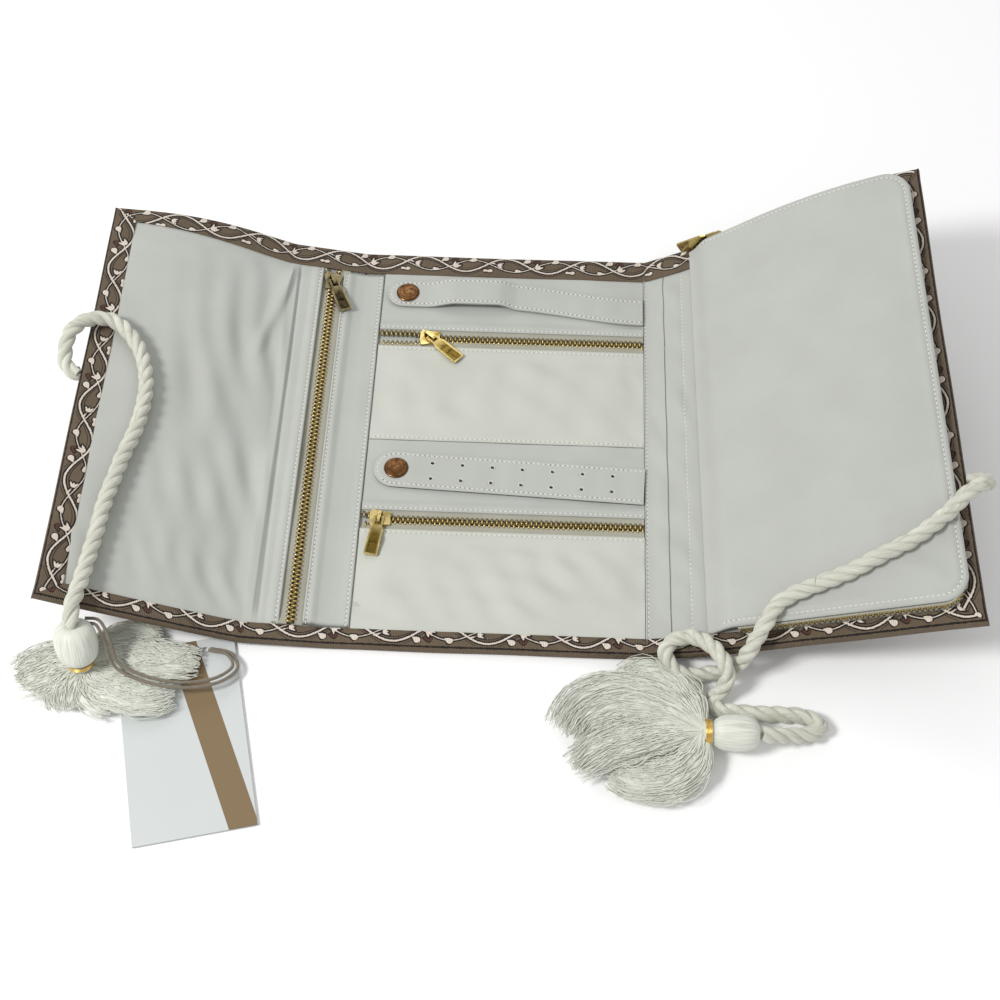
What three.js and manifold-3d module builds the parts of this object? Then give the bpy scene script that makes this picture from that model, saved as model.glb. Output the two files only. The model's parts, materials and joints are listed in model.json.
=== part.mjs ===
// An open tri-fold jewelry organizer: a padded cloth cover with a folded border, zipped pockets,
// two snap straps, a zip-around pouch page, and two wrap cords that end in tassels.
// +X runs to the right wing, +Y away from the user, +Z up from the table.
import * as THREE from "three";
import { mergeVertices } from "three/addons/utils/BufferGeometryUtils.js";
import Module from "manifold-3d";

const wasm = await Module();
wasm.setup();

// The cover laid flat
const DEPTH = 250; // near edge to far edge
const CENTRE = 157; // from the left fold to the spine fold
const SPINE = 23.5;
const RIGHT = 136;
const LEFT_INNER = 42; // from the left fold to the crease beside the long zip
const LEFT_PANEL = 100;
const BAND_NEAR = 10; // cover cloth folded over onto the inside
const BAND_FAR = 15;
const BAND_SIDE = 13;

// Cloth layers
const COVER = 0.8;
const WADDING = 1.3;
const BACKING = 0.4;
const LINING = 0.5;
const GAP = 0.3; // clearance between pieces that touch
const OVERRUN = 1; // how far a cutting body passes the face that it cuts

// Folds: how far each side of a fold is cut back at its underside and at its top
const FOLD_CUT_LOW = 0.4;
const FOLD_CUT_HIGH = 1.5;
const SOFT_CUT_LOW = 0.2;
const SOFT_CUT_HIGH = 0.9;

// Zips
const TAPE = 0.6;
const TEETH_PITCH = 2.5;
const TOOTH = 0.95; // along the zip
const TOOTH_HEIGHT = 1.8;
const BEAD_OUTER = 2.6; // from the middle of the chain
const BEAD_INNER = 1.5;
const TOOTH_REACH = 0.6; // past the middle of the chain
const TAPE_OUTER = 9.2;
const ZIP_OPENING = 5.6; // half the width between the stitched edges
const GROOVE_HALF = 6.2;
const MOUTH_SPREAD = 1.5; // how far each row stands off the middle at the slider's nose
const MOUTH_OPEN = 2.4;
const GROOVE_RAMP = 3;
const EDGE_RAMP = 3; // length over which the lining climbs onto the tape

// Slider and pull
const PLATE_LOW = 0.6;
const PLATE_HIGH = 0.8;
const SLIDER_TAIL = 5.4;
const SLIDER_NOSE = 5.2;
const FLANGE = 0.75;
const WEDGE_HALF_WIDTH = 0.55;
const BAIL_HALF_LENGTH = 2.6;
const BAIL_WIDTH = 1.6;
const BAIL_LEG = 0.9;
const BAIL_TUNNEL = 1.9;
const PULL_LENGTH = 22;
const PULL_WIDTH = 7;
const PULL_HEAD_WIDTH = 5;
const PULL_THICKNESS = 1.1;
const PULL_EYE_LENGTH = 4.2;
const PULL_EYE_WIDTH = 2.7;
const PULL_WINDOW_LENGTH = 6;
const PULL_WINDOW_WIDTH = 4;
const PULL_RECESS = 0.4;
const PULL_DROOP = 3; // degrees

// Places on the centre panel
const LEFT_SEAM_X = -67.5;
const RIGHT_SEAM_X = 76.5;
const UPPER_ZIP_Y = 0.26 * DEPTH;
const LOWER_ZIP_Y = -0.208 * DEPTH;
const POCKET_SEAM_Y = -0.008 * DEPTH;
const UPPER_SLIDER_X = -39.5;
const LOWER_SLIDER_X = -57.5;
const UPPER_PULL_HEADING = -41; // degrees from +X
const LOWER_PULL_HEADING = -98;

// Long zip on the left wing
const LONG_ZIP = 18; // from the left fold
const LONG_SLIDER_Y = 0.4 * DEPTH;
const LONG_PULL_HEADING = -66;
const LONG_PULL_DROOP = 0;
const TWIST_ROOM = 0.35; // the straight zip lies on a wing that twists a little

// Straps
const STRAP_THICKNESS = 1.5;
const STRAP_BASE = 1.0; // strap's underside above the lining
const EARRING_WIDTH = 22;
const EARRING_LEFT_X = -63;
const EARRING_LEFT_Y = LOWER_ZIP_Y + 31;
const EARRING_RIGHT_Y = LOWER_ZIP_Y + 24.5;
const EARRING_SNAP_X = -51.4;
const HOLE_RADIUS = 1.1;
const HOLE_FIRST_X = -33;
const HOLE_PITCH = 15.5;
const HOLE_COLUMNS = 7;
const HOLE_ROW_GAP = 9.5;
const RING_WIDTH = 18;
const RING_LEFT_X = -64.5;
const RING_LEFT_Y = 0.3816 * DEPTH;
const RING_RIGHT_Y = UPPER_ZIP_Y + 22;
const RING_SNAP_X = -53.5;
const RING_ARCH = 3.7; // how much higher the raised stretch lies
const RING_ARCH_XS = [-43, -26, -4, 8]; // where the arch starts, is full, starts down and ends

// Snaps
const SNAP_RADIUS = 6.25;
const SNAP_CAP = 1.0;
const SNAP_BARREL_RADIUS = 2.2;
const SNAP_BORE_RADIUS = 1.5;
const SNAP_BORE_DEPTH = 1.6;
const STUD_RADIUS = 4.6;
const STUD_FLANGE = 0.4;
const STUD_NUB_RADIUS = 1.1;
const STUD_NUB_HEIGHT = 1.5;
const SNAP_SIDES = 12;

// Pouch on the right wing: its page is sewn down along the fold and zipped round the other three sides
const POUCH_INNER = 6; // from the wing's fold
const POUCH_NEAR = 0.468 * DEPTH; // page edges from the middle of the depth
const POUCH_FAR = 0.48 * DEPTH;
const POUCH_END = 5.5; // from the wing's outer edge
const POUCH_CORNER = 13;
const POUCH_LIP = 2; // how far the page reaches past its zip
const POUCH_RISE = 14; // length over which the page climbs from its seam
const POUCH_RAIL = 1.8;
const POUCH_LOWER_RAIL = 3.3; // height
const POUCH_UPPER_RAIL = 1;
const PAGE_SEAM_EDGE = 1.2; // page thickness at its seam
const PAGE_EDGE = 2; // and at its other edges
const PAGE_CROWN = 1.9;
const PAGE_ROUNDING = 8;
const PAGE_SAG = 2.6; // how far the page hangs down inside its zip
const POUCH_SLIDER = 24; // from the wing's fold
const POUCH_SLIDER_LENGTH = 10;
const POUCH_SLIDER_HEIGHT = 5.2;
const POUCH_SLIDER_INNER_HEIGHT = 2.2;
const POUCH_SLIDER_NECK = 1.4;
const POUCH_SLIDER_TRAVEL = 36;
const POUCH_PULL_HEADING = 185; // degrees from the zip's direction

// Cords, tassels and hang tag
const CORD = 8;
const CORD_SIDES = 8;
const ROUTE_DEPTH = 250; // the routes and places below are given for a cover this deep
const NEAR_SHIFT = (ROUTE_DEPTH - DEPTH) / 2; // and move with the near edge of another one
const HEAD_RADIUS = 11.5;
const HEAD_LENGTH = 22;
const NECK_RADIUS = 5;
const NECK_LENGTH = 4.6;
const THREAD_BAND = 3.9;
const THREAD_BAND_WALL = 1;
const LATHE_SIDES = 14;
const RIGHT_TASSEL = { x: 102.3, y: -166.5, z: 11.6 }; // end of the neck
const FAN_LENGTH = 71;
const FAN_HALF_WIDTH = 35;
const FAN_HEIGHT = 16;
const LEFT_TASSEL = { x: -192, y: -143.6, z: 9.4 };
const LEFT_TASSEL_LEAN = { x: -0.05, y: 0.35, z: 0.93 }; // from the skirt to the cord
const MOUND_CENTRE = { x: -180, y: -143 };
const MOUND_REACH = 52;
const MOUND_HEIGHT = 5.4;
const MOUND_BASE = 1.6; // it lies on the tag
const LOOP_CORD = 2;
const TAG_CORNER = { x: -155.9, y: -229.4 }; // near left corner
const TAG_WIDTH = 57;
const TAG_LENGTH = 100;
const TAG_TURN = 13.5;
const TAG_CARD = 0.5;
const TAG_HOLE_RADIUS = 1.8;
const TAG_HOLE_INSET = 6;

// Heights of the layers above the cover's underside
const HALF_DEPTH = DEPTH / 2;
const HALF_CENTRE = CENTRE / 2;
const WADDING_BASE = COVER + GAP;
const BACKING_BASE = WADDING_BASE + WADDING + GAP;
const LINING_BASE = BACKING_BASE + BACKING + GAP;
const LINING_TOP = LINING_BASE + LINING;
const BAND_BASE = LINING_TOP + GAP;
const RIM = BAND_BASE + COVER;
const TAPE_BASE = LINING_TOP;
const ZIP_MIDDLE = TAPE_BASE + TAPE / 2;
const SLIDER_BASE = ZIP_MIDDLE - TOOTH_HEIGHT / 2 - GAP - PLATE_LOW;
const GROOVE_BACKING_BASE = SLIDER_BASE - GAP - BACKING;
const GROOVE_WADDING_TOP = GROOVE_BACKING_BASE - GAP;
const BODY_SPAN = DEPTH - 2 * (COVER + GAP); // depth of the layers inside the cover's folds

// Slope of the cloth along the two edges of each panel: share of its length, degrees.
const FLAT_SHARES = [[0, 0], [1, 0]];
const LEFT_INNER_NEAR_SHARES = [[0, 4], [1, 4]];
const LEFT_INNER_FAR_SHARES = [[0, 10], [1, 10]];
const LEFT_PANEL_NEAR_SHARES = [[0, 18], [0.3, 22], [1, 23]];
const LEFT_PANEL_FAR_SHARES = [[0, 24], [0.2, 24], [0.5, 14], [0.75, 6], [1, 4]];
const SPINE_NEAR_SHARES = [[0, 13], [1, 13]];
const SPINE_FAR_SHARES = [[0, 28], [1, 28]];
const RIGHT_NEAR_SHARES = [[0, 14], [0.35, 18], [1, 18.5]];
const RIGHT_FAR_SHARES = [[0, 34], [0.32, 38], [0.6, 31], [1, 18]];

const CURVE_STEPS = 24;
const mix = (a, b, share) => a + (b - a) * share;
const radians = THREE.MathUtils.degToRad;
const smooth = (x, from, to) => THREE.MathUtils.smoothstep(x, Math.min(from, to), Math.max(from, to));

// A curve in X and Z that starts at a point and follows the slopes of a table.
function edgeCurve(start, heading, shares, length) {
  const slopeAt = (share) => {
    let i = 1;
    while (i < shares.length - 1 && share > shares[i][0]) i++;
    const [[from, a], [to, b]] = [shares[i - 1], shares[i]];
    return radians(mix(a, b, THREE.MathUtils.clamp((share - from) / (to - from), 0, 1)));
  };
  return (d) => {
    let { x, z } = start;
    for (let i = 0; i < CURVE_STEPS; i++) {
      const angle = slopeAt((((i + 0.5) / CURVE_STEPS) * d) / length);
      x += (heading * Math.cos(angle) * d) / CURVE_STEPS;
      z += (Math.sin(angle) * d) / CURVE_STEPS;
    }
    return { x, z, angle: slopeAt(d / length) };
  };
}

// A panel of the organizer: d runs along the cloth from its fold, t is the depth, h the height.
function panel({ near, far, heading, nearShares, farShares, length, cells, lowCut, highCut }) {
  const nearCurve = edgeCurve(near, heading, nearShares, length);
  const farCurve = edgeCurve(far, heading, farShares, length);
  return {
    length,
    heading,
    cells,
    cuts: lowCut,
    endCuts: highCut,
    nearEnd: nearCurve(length),
    farEnd: farCurve(length),
    at(d, t, h) {
      const share = t / DEPTH + 0.5;
      const a = nearCurve(d);
      const b = farCurve(d);
      const angle = mix(a.angle, b.angle, share);
      const x = mix(a.x, b.x, share) - heading * h * Math.sin(angle);
      return new THREE.Vector3(x, t, mix(a.z, b.z, share) + h * Math.cos(angle));
    },
    slope: (d, t) => mix(nearCurve(d).angle, farCurve(d).angle, t / DEPTH + 0.5),
  };
}

const NO_CUT = [0, 0];
const FOLD_CUT = [FOLD_CUT_LOW, FOLD_CUT_HIGH];
const SOFT_CUT = [SOFT_CUT_LOW, SOFT_CUT_HIGH];
const leftStart = { x: -HALF_CENTRE, z: 0 };
const rightStart = { x: HALF_CENTRE, z: 0 };
const centre = panel({
  near: leftStart, far: leftStart, heading: 1, nearShares: FLAT_SHARES, farShares: FLAT_SHARES,
  length: CENTRE, cells: [1, 1], lowCut: SOFT_CUT, highCut: FOLD_CUT,
});
const leftWing = panel({
  near: leftStart, far: leftStart, heading: -1,
  nearShares: LEFT_INNER_NEAR_SHARES, farShares: LEFT_INNER_FAR_SHARES,
  length: LEFT_INNER, cells: [2, 4], lowCut: SOFT_CUT, highCut: SOFT_CUT,
});
const leftPanel = panel({
  near: leftWing.nearEnd, far: leftWing.farEnd, heading: -1,
  nearShares: LEFT_PANEL_NEAR_SHARES, farShares: LEFT_PANEL_FAR_SHARES,
  length: LEFT_PANEL, cells: [6, 5], lowCut: SOFT_CUT, highCut: NO_CUT,
});
const spine = panel({
  near: rightStart, far: rightStart, heading: 1,
  nearShares: SPINE_NEAR_SHARES, farShares: SPINE_FAR_SHARES,
  length: SPINE, cells: [2, 8], lowCut: FOLD_CUT, highCut: SOFT_CUT,
});
const rightWing = panel({
  near: spine.nearEnd, far: spine.farEnd, heading: 1,
  nearShares: RIGHT_NEAR_SHARES, farShares: RIGHT_FAR_SHARES,
  length: RIGHT, cells: [9, 8], lowCut: SOFT_CUT, highCut: NO_CUT,
});

// Bodies from grids and from three.js shapes, joined and cut as solids.
function orient(positions, triangles) {
  let volume = 0;
  const corner = (k) => new THREE.Vector3().fromArray(positions, 3 * k);
  for (let i = 0; i < triangles.length; i += 3) {
    const [a, b, c] = [0, 1, 2].map((k) => corner(triangles[i + k]));
    volume += a.dot(b.cross(c));
  }
  if (volume > 0) return triangles;
  return triangles.map((_, i) => triangles[i - (i % 3) + [0, 2, 1][i % 3]]);
}

function solidFrom(positions, triangles) {
  return new wasm.Manifold(new wasm.Mesh({
    numProp: 3,
    vertProperties: new Float32Array(positions),
    triVerts: new Uint32Array(orient(positions, triangles)),
  }));
}

function solidOf(geometry, matrix = new THREE.Matrix4()) {
  const bare = geometry.clone().applyMatrix4(matrix);
  bare.deleteAttribute("normal");
  bare.deleteAttribute("uv");
  const merged = mergeVertices(bare, GAP / 100);
  return solidFrom([...merged.attributes.position.array], [...merged.index.array]);
}

function geometryOf(solid) {
  const { numProp, vertProperties, triVerts } = solid.getMesh();
  const geometry = new THREE.BufferGeometry();
  geometry.setAttribute("position", new THREE.BufferAttribute(vertProperties, numProp));
  geometry.setIndex(new THREE.BufferAttribute(triVerts, 1));
  const facets = geometry.toNonIndexed();
  facets.computeVertexNormals();
  return facets;
}

// A closed slab over a grid. at(row, column, side) gives its points; side is 0 below and 1 above.
function slab(rows, columns, at) {
  const positions = [];
  const triangles = [];
  const index = (i, j, side) => (side * rows + i) * columns + j;
  for (const side of [0, 1])
    for (let i = 0; i < rows; i++)
      for (let j = 0; j < columns; j++) positions.push(...at(i, j, side).toArray());
  const quad = (a, b, c, d) => triangles.push(a, b, c, a, c, d);
  for (let i = 0; i + 1 < rows; i++)
    for (let j = 0; j + 1 < columns; j++) {
      quad(index(i, j, 1), index(i + 1, j, 1), index(i + 1, j + 1, 1), index(i, j + 1, 1));
      triangles.push(index(i, j, 0), index(i + 1, j + 1, 0), index(i + 1, j, 0));
      triangles.push(index(i, j, 0), index(i, j + 1, 0), index(i + 1, j + 1, 0));
    }
  for (let i = 0; i + 1 < rows; i++) {
    quad(index(i, 0, 0), index(i + 1, 0, 0), index(i + 1, 0, 1), index(i, 0, 1));
    const last = columns - 1;
    quad(index(i, last, 1), index(i + 1, last, 1), index(i + 1, last, 0), index(i, last, 0));
  }
  for (let j = 0; j + 1 < columns; j++) {
    quad(index(0, j, 1), index(0, j + 1, 1), index(0, j + 1, 0), index(0, j, 0));
    const last = rows - 1;
    quad(index(last, j, 0), index(last, j + 1, 0), index(last, j + 1, 1), index(last, j, 1));
  }
  return solidFrom(positions, triangles);
}

// The given places together with the panel's own grid lines that fall between them.
function gridLines(places, length, cells, origin) {
  const step = length / cells;
  const [first, last] = [places[0], places[places.length - 1]];
  const lines = [...places];
  for (let i = 0; i <= cells; i++) {
    const line = origin + i * step;
    const clear = places.every((place) => Math.abs(place - line) > step / 12);
    if (line > first && line < last && clear) lines.push(line);
  }
  return lines.sort((a, b) => a - b);
}

// A layer of a panel between heights, over places in d and t. startCut and endCut bevel its two ends.
function layer(zone, { d, t, low, high, startCut = NO_CUT, endCut = NO_CUT }) {
  const rows = gridLines(d, zone.length, zone.cells[0], 0);
  const columns = gridLines(t, DEPTH, zone.cells[1], -HALF_DEPTH);
  const lowAt = typeof low === "function" ? low : () => low;
  const highAt = typeof high === "function" ? high : () => high;
  return slab(rows.length, columns.length, (i, j, side) => {
    const h = (side ? highAt : lowAt)(rows[i], columns[j]);
    let place = rows[i];
    if (i === 0) place += mix(startCut[0], startCut[1], h / RIM);
    if (i === rows.length - 1) place -= mix(endCut[0], endCut[1], h / RIM);
    return zone.at(place, columns[j], h);
  });
}

const INNER_NEAR = -BODY_SPAN / 2;
const INNER_FAR = BODY_SPAN / 2;

// Cover cloth under a panel, folded over its near and far edges, and over its outer edge if it has one.
function coverPiece(zone, outerEdge) {
  const end = outerEdge ? zone.length : zone.length + OVERRUN;
  const whole = layer(zone, {
    d: [0, zone.length], t: [-HALF_DEPTH, HALF_DEPTH], low: 0, high: RIM,
    startCut: zone.cuts, endCut: zone.endCuts,
  });
  const cavity = layer(zone, {
    d: [-OVERRUN, outerEdge ? end - COVER : end],
    t: [-HALF_DEPTH + COVER, HALF_DEPTH - COVER], low: COVER, high: BAND_BASE,
  });
  const window = layer(zone, {
    d: [-OVERRUN, outerEdge ? end - BAND_SIDE : end],
    t: [-HALF_DEPTH + BAND_NEAR, HALF_DEPTH - BAND_FAR],
    low: BAND_BASE - COVER / 2, high: RIM + OVERRUN,
  });
  return whole.subtract(cavity).subtract(window);
}

// Inner layers end a gap short of the cover's folds.
function innerEnds(zone, outerEdge) {
  return {
    d: [GAP / 2, outerEdge ? zone.length - COVER - GAP : zone.length - GAP / 2],
    startCut: zone.cuts,
    endCut: outerEdge ? NO_CUT : zone.endCuts,
  };
}

function innerLayer(zone, outerEdge, low, high) {
  return layer(zone, { ...innerEnds(zone, outerEdge), t: [INNER_NEAR, INNER_FAR], low, high });
}

// Full depth of the groove under a zip, as a share, at a distance from the zip's middle.
const grooveShare = (distance) => 1 - smooth(Math.abs(distance), GROOVE_HALF, GROOVE_HALF + GROOVE_RAMP);
const grooveLines = (middle) => [
  middle - GROOVE_HALF - GROOVE_RAMP, middle - GROOVE_HALF,
  middle + GROOVE_HALF, middle + GROOVE_HALF + GROOVE_RAMP,
];

// Lining that covers the tape climbs onto it.
const EDGE_CLIMB = TAPE_BASE + TAPE + GAP - LINING_BASE;
const EDGE_FULL = TAPE_OUTER + GAP;
const climb = (distance) => EDGE_CLIMB * (1 - smooth(Math.abs(distance), EDGE_FULL, EDGE_FULL + EDGE_RAMP));
const edgeLines = (middle, side) =>
  [ZIP_OPENING, EDGE_FULL, EDGE_FULL + EDGE_RAMP].map((reach) => middle + side * reach);

// Colours and finishes
const finish = (color, roughness, metalness = 0) =>
  new THREE.MeshStandardMaterial({ color, roughness, metalness });
const FINISHES = {
  cover: () => finish("#8a7264", 0.95),
  wadding: () => finish("#efece4", 1),
  lining: () => finish("#e9e8e2", 0.92),
  tape: () => finish("#cfc6b8", 0.9),
  brass: () => finish("#b99a4a", 0.35, 1),
  antique: () => finish("#6f6650", 0.4, 1),
  copper: () => finish("#a9805f", 0.35, 1),
  rope: () => finish("#f1efe6", 0.85),
  thread: () => finish("#f3f2ec", 0.8),
  gold: () => finish("#d9a93c", 0.35, 0.9),
  card: () => finish("#f6f5f1", 0.7),
  elastic: () => finish("#a08c7c", 0.8),
};

const organizer = new THREE.Group();
organizer.name = "jewelry_organizer";

function addPiece(name, solid, look, parent = organizer) {
  const mesh = new THREE.Mesh(geometryOf(solid), FINISHES[look]());
  mesh.name = name;
  parent.add(mesh);
  return mesh;
}

// Cover, wadding and lining of every panel
function buildPanels() {
  const onCentre = (x) => x + HALF_CENTRE;
  addPiece("cover_centre", coverPiece(centre, false), "cover");
  addPiece("cover_left_wing", coverPiece(leftWing, false), "cover");
  addPiece("cover_left_panel", coverPiece(leftPanel, true), "cover");
  addPiece("cover_spine", coverPiece(spine, false), "cover");
  addPiece("cover_right_wing", coverPiece(rightWing, true), "cover");

  const zips = [LOWER_ZIP_Y, UPPER_ZIP_Y];
  const centreGroove = (d, t) => Math.max(...zips.map((y) => grooveShare(t - y)));
  const centreLines = [INNER_NEAR, ...zips.flatMap(grooveLines), INNER_FAR];
  const ends = innerEnds(centre, false);
  addPiece("wadding_centre", layer(centre, {
    ...ends, t: centreLines, low: WADDING_BASE,
    high: (d, t) => mix(WADDING_BASE + WADDING, GROOVE_WADDING_TOP, centreGroove(d, t)),
  }), "wadding");
  const backingBase = (share) => mix(BACKING_BASE, GROOVE_BACKING_BASE, share);
  addPiece("backing_centre", layer(centre, {
    ...ends, t: centreLines,
    low: (d, t) => backingBase(centreGroove(d, t)),
    high: (d, t) => backingBase(centreGroove(d, t)) + BACKING,
  }), "lining");

  const wingGroove = (d) => grooveShare(d - LONG_ZIP);
  const wingEnds = innerEnds(leftWing, false);
  const wingLines = [wingEnds.d[0], ...grooveLines(LONG_ZIP), wingEnds.d[1]];
  addPiece("wadding_left_wing", layer(leftWing, {
    ...wingEnds, d: wingLines, t: [INNER_NEAR, INNER_FAR], low: WADDING_BASE,
    high: (d) => mix(WADDING_BASE + WADDING, GROOVE_WADDING_TOP, wingGroove(d)),
  }), "wadding");
  addPiece("backing_left_wing", layer(leftWing, {
    ...wingEnds, d: wingLines, t: [INNER_NEAR, INNER_FAR],
    low: (d) => backingBase(wingGroove(d)), high: (d) => backingBase(wingGroove(d)) + BACKING,
  }), "lining");
  const fullWadding = LINING_BASE - GAP;
  addPiece("wadding_left_panel", innerLayer(leftPanel, true, WADDING_BASE, fullWadding), "wadding");
  addPiece("wadding_spine", innerLayer(spine, false, WADDING_BASE, fullWadding), "wadding");
  addPiece("wadding_right_wing", innerLayer(rightWing, true, WADDING_BASE, fullWadding), "wadding");

  const overCentre = (d, t) => Math.max(...zips.map((y) => climb(t - y)));
  const twisted = (EDGE_CLIMB + TWIST_ROOM) / EDGE_CLIMB;
  const overWing = (d) => climb(d - LONG_ZIP) * twisted;
  const window = [-HALF_DEPTH + BAND_NEAR + GAP, HALF_DEPTH - BAND_FAR - GAP];
  const level = () => 0;
  const liningPiece = (name, zone, d, t, rise = level, cuts = {}) =>
    addPiece(name, layer(zone, {
      d, t, low: (...place) => LINING_BASE + rise(...place),
      high: (...place) => LINING_TOP + rise(...place), ...cuts,
    }), "lining");
  const seam = [onCentre(LEFT_SEAM_X) + GAP, onCentre(RIGHT_SEAM_X)];
  const full = [INNER_NEAR, INNER_FAR];
  const [lower, upper] = zips;
  liningPiece("strip_centre", centre, [GAP, onCentre(LEFT_SEAM_X)], full, level,
    { startCut: centre.cuts });
  liningPiece("lining_behind_ring_strap", centre, seam, [...edgeLines(upper, 1), INNER_FAR], overCentre);
  liningPiece("upper_pocket_panel", centre, seam,
    [POCKET_SEAM_Y, ...edgeLines(upper, -1).reverse()], overCentre);
  liningPiece("lining_behind_earring_strap", centre, seam,
    [...edgeLines(lower, 1), POCKET_SEAM_Y - GAP], overCentre);
  liningPiece("lower_pocket_panel", centre, seam,
    [INNER_NEAR, ...edgeLines(lower, -1).reverse()], overCentre);
  liningPiece("strip_left_wing", leftWing, [GAP, ...edgeLines(LONG_ZIP, -1).reverse()], window, overWing,
    { startCut: leftWing.cuts });
  liningPiece("lining_left_wing", leftWing, [...edgeLines(LONG_ZIP, 1), LEFT_INNER - GAP], window, overWing,
    { endCut: leftWing.endCuts });
  addPiece("lining_left_panel", innerLayer(leftPanel, true, LINING_BASE, LINING_TOP), "lining");
  addPiece("lining_spine", innerLayer(spine, false, LINING_BASE, LINING_TOP), "lining");
  addPiece("pouch_base", innerLayer(rightWing, true, LINING_BASE, LINING_TOP), "lining");
}

// Outline of one half of a zip in its own plane: x along the zip, y across, teeth facing y = 0.
function toothRow(steps, phase) {
  const [from, to] = [steps[0], steps[steps.length - 1]];
  const outline = new THREE.Shape();
  outline.moveTo(from, BEAD_OUTER);
  outline.lineTo(from, BEAD_INNER);
  for (let x = from + TOOTH + phase; x + TOOTH < to; x += TEETH_PITCH) {
    outline.lineTo(x, BEAD_INNER);
    outline.lineTo(x, -TOOTH_REACH);
    outline.lineTo(x + TOOTH, -TOOTH_REACH);
    outline.lineTo(x + TOOTH, BEAD_INNER);
  }
  outline.lineTo(to, BEAD_INNER);
  for (const x of [...steps].reverse().slice(0, -1)) outline.lineTo(x, BEAD_OUTER);
  return outline;
}

const extrude = (shape, depth, options = {}) =>
  new THREE.ExtrudeGeometry(shape, { depth, bevelEnabled: false, curveSegments: 6, ...options });

// One half of a zip, lying in its middle plane along x. The rows part on the open side of the slider.
function zipHalf({ from, to, slider, side }) {
  const spread = (x) => {
    const ahead = slider - x;
    if (ahead <= 0) return 0;
    const nose = smooth(ahead, 0, SLIDER_NOSE) * MOUTH_SPREAD;
    const mouth = smooth(ahead, SLIDER_NOSE, 2 * SLIDER_NOSE) * (MOUTH_OPEN - MOUTH_SPREAD);
    return nose + mouth;
  };
  const steps = [from, slider - 3 * SLIDER_NOSE, slider - 2 * SLIDER_NOSE, slider - SLIDER_NOSE]
    .concat([slider - SLIDER_NOSE / 2, slider, to])
    .filter((x) => x >= from && x <= to);
  const tape = slab(steps.length, 2, (i, j, above) => new THREE.Vector3(
    steps[i],
    side * (j ? TAPE_OUTER : (BEAD_INNER + BEAD_OUTER) / 2 + spread(steps[i])),
    (above ? TAPE : -TAPE) / 2,
  ));
  const row = extrude(toothRow(steps, side > 0 ? 0 : TEETH_PITCH / 2), TOOTH_HEIGHT);
  row.translate(0, 0, -TOOTH_HEIGHT / 2);
  const places = row.attributes.position;
  for (let k = 0; k < places.count; k++)
    places.setY(k, side * (places.getY(k) + spread(places.getX(k))));
  return solidOf(row).add(tape);
}

// The arch that holds the pull: it stands on a plate and is turned towards the pull's heading.
function bailSolid(heading, base) {
  const arch = new THREE.Shape();
  const [reach, top] = [BAIL_HALF_LENGTH, BAIL_TUNNEL + BAIL_LEG];
  const foot = PLATE_LOW / 4;
  arch.moveTo(-reach - BAIL_LEG, -foot);
  arch.lineTo(reach + BAIL_LEG, -foot);
  arch.lineTo(reach + BAIL_LEG, BAIL_TUNNEL);
  arch.lineTo(reach, top);
  arch.lineTo(-reach, top);
  arch.lineTo(-reach - BAIL_LEG, BAIL_TUNNEL);
  const tunnel = new THREE.Path();
  tunnel.moveTo(-reach, foot / 2);
  tunnel.lineTo(-reach, BAIL_TUNNEL);
  tunnel.lineTo(reach, BAIL_TUNNEL);
  tunnel.lineTo(reach, foot / 2);
  arch.holes.push(tunnel);
  const placed = new THREE.Matrix4().makeRotationZ(radians(heading)).setPosition(0, 0, base)
    .multiply(new THREE.Matrix4().makeRotationX(Math.PI / 2))
    .multiply(new THREE.Matrix4().makeTranslation(0, 0, -BAIL_WIDTH / 2));
  return solidOf(extrude(arch, BAIL_WIDTH), placed);
}

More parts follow.
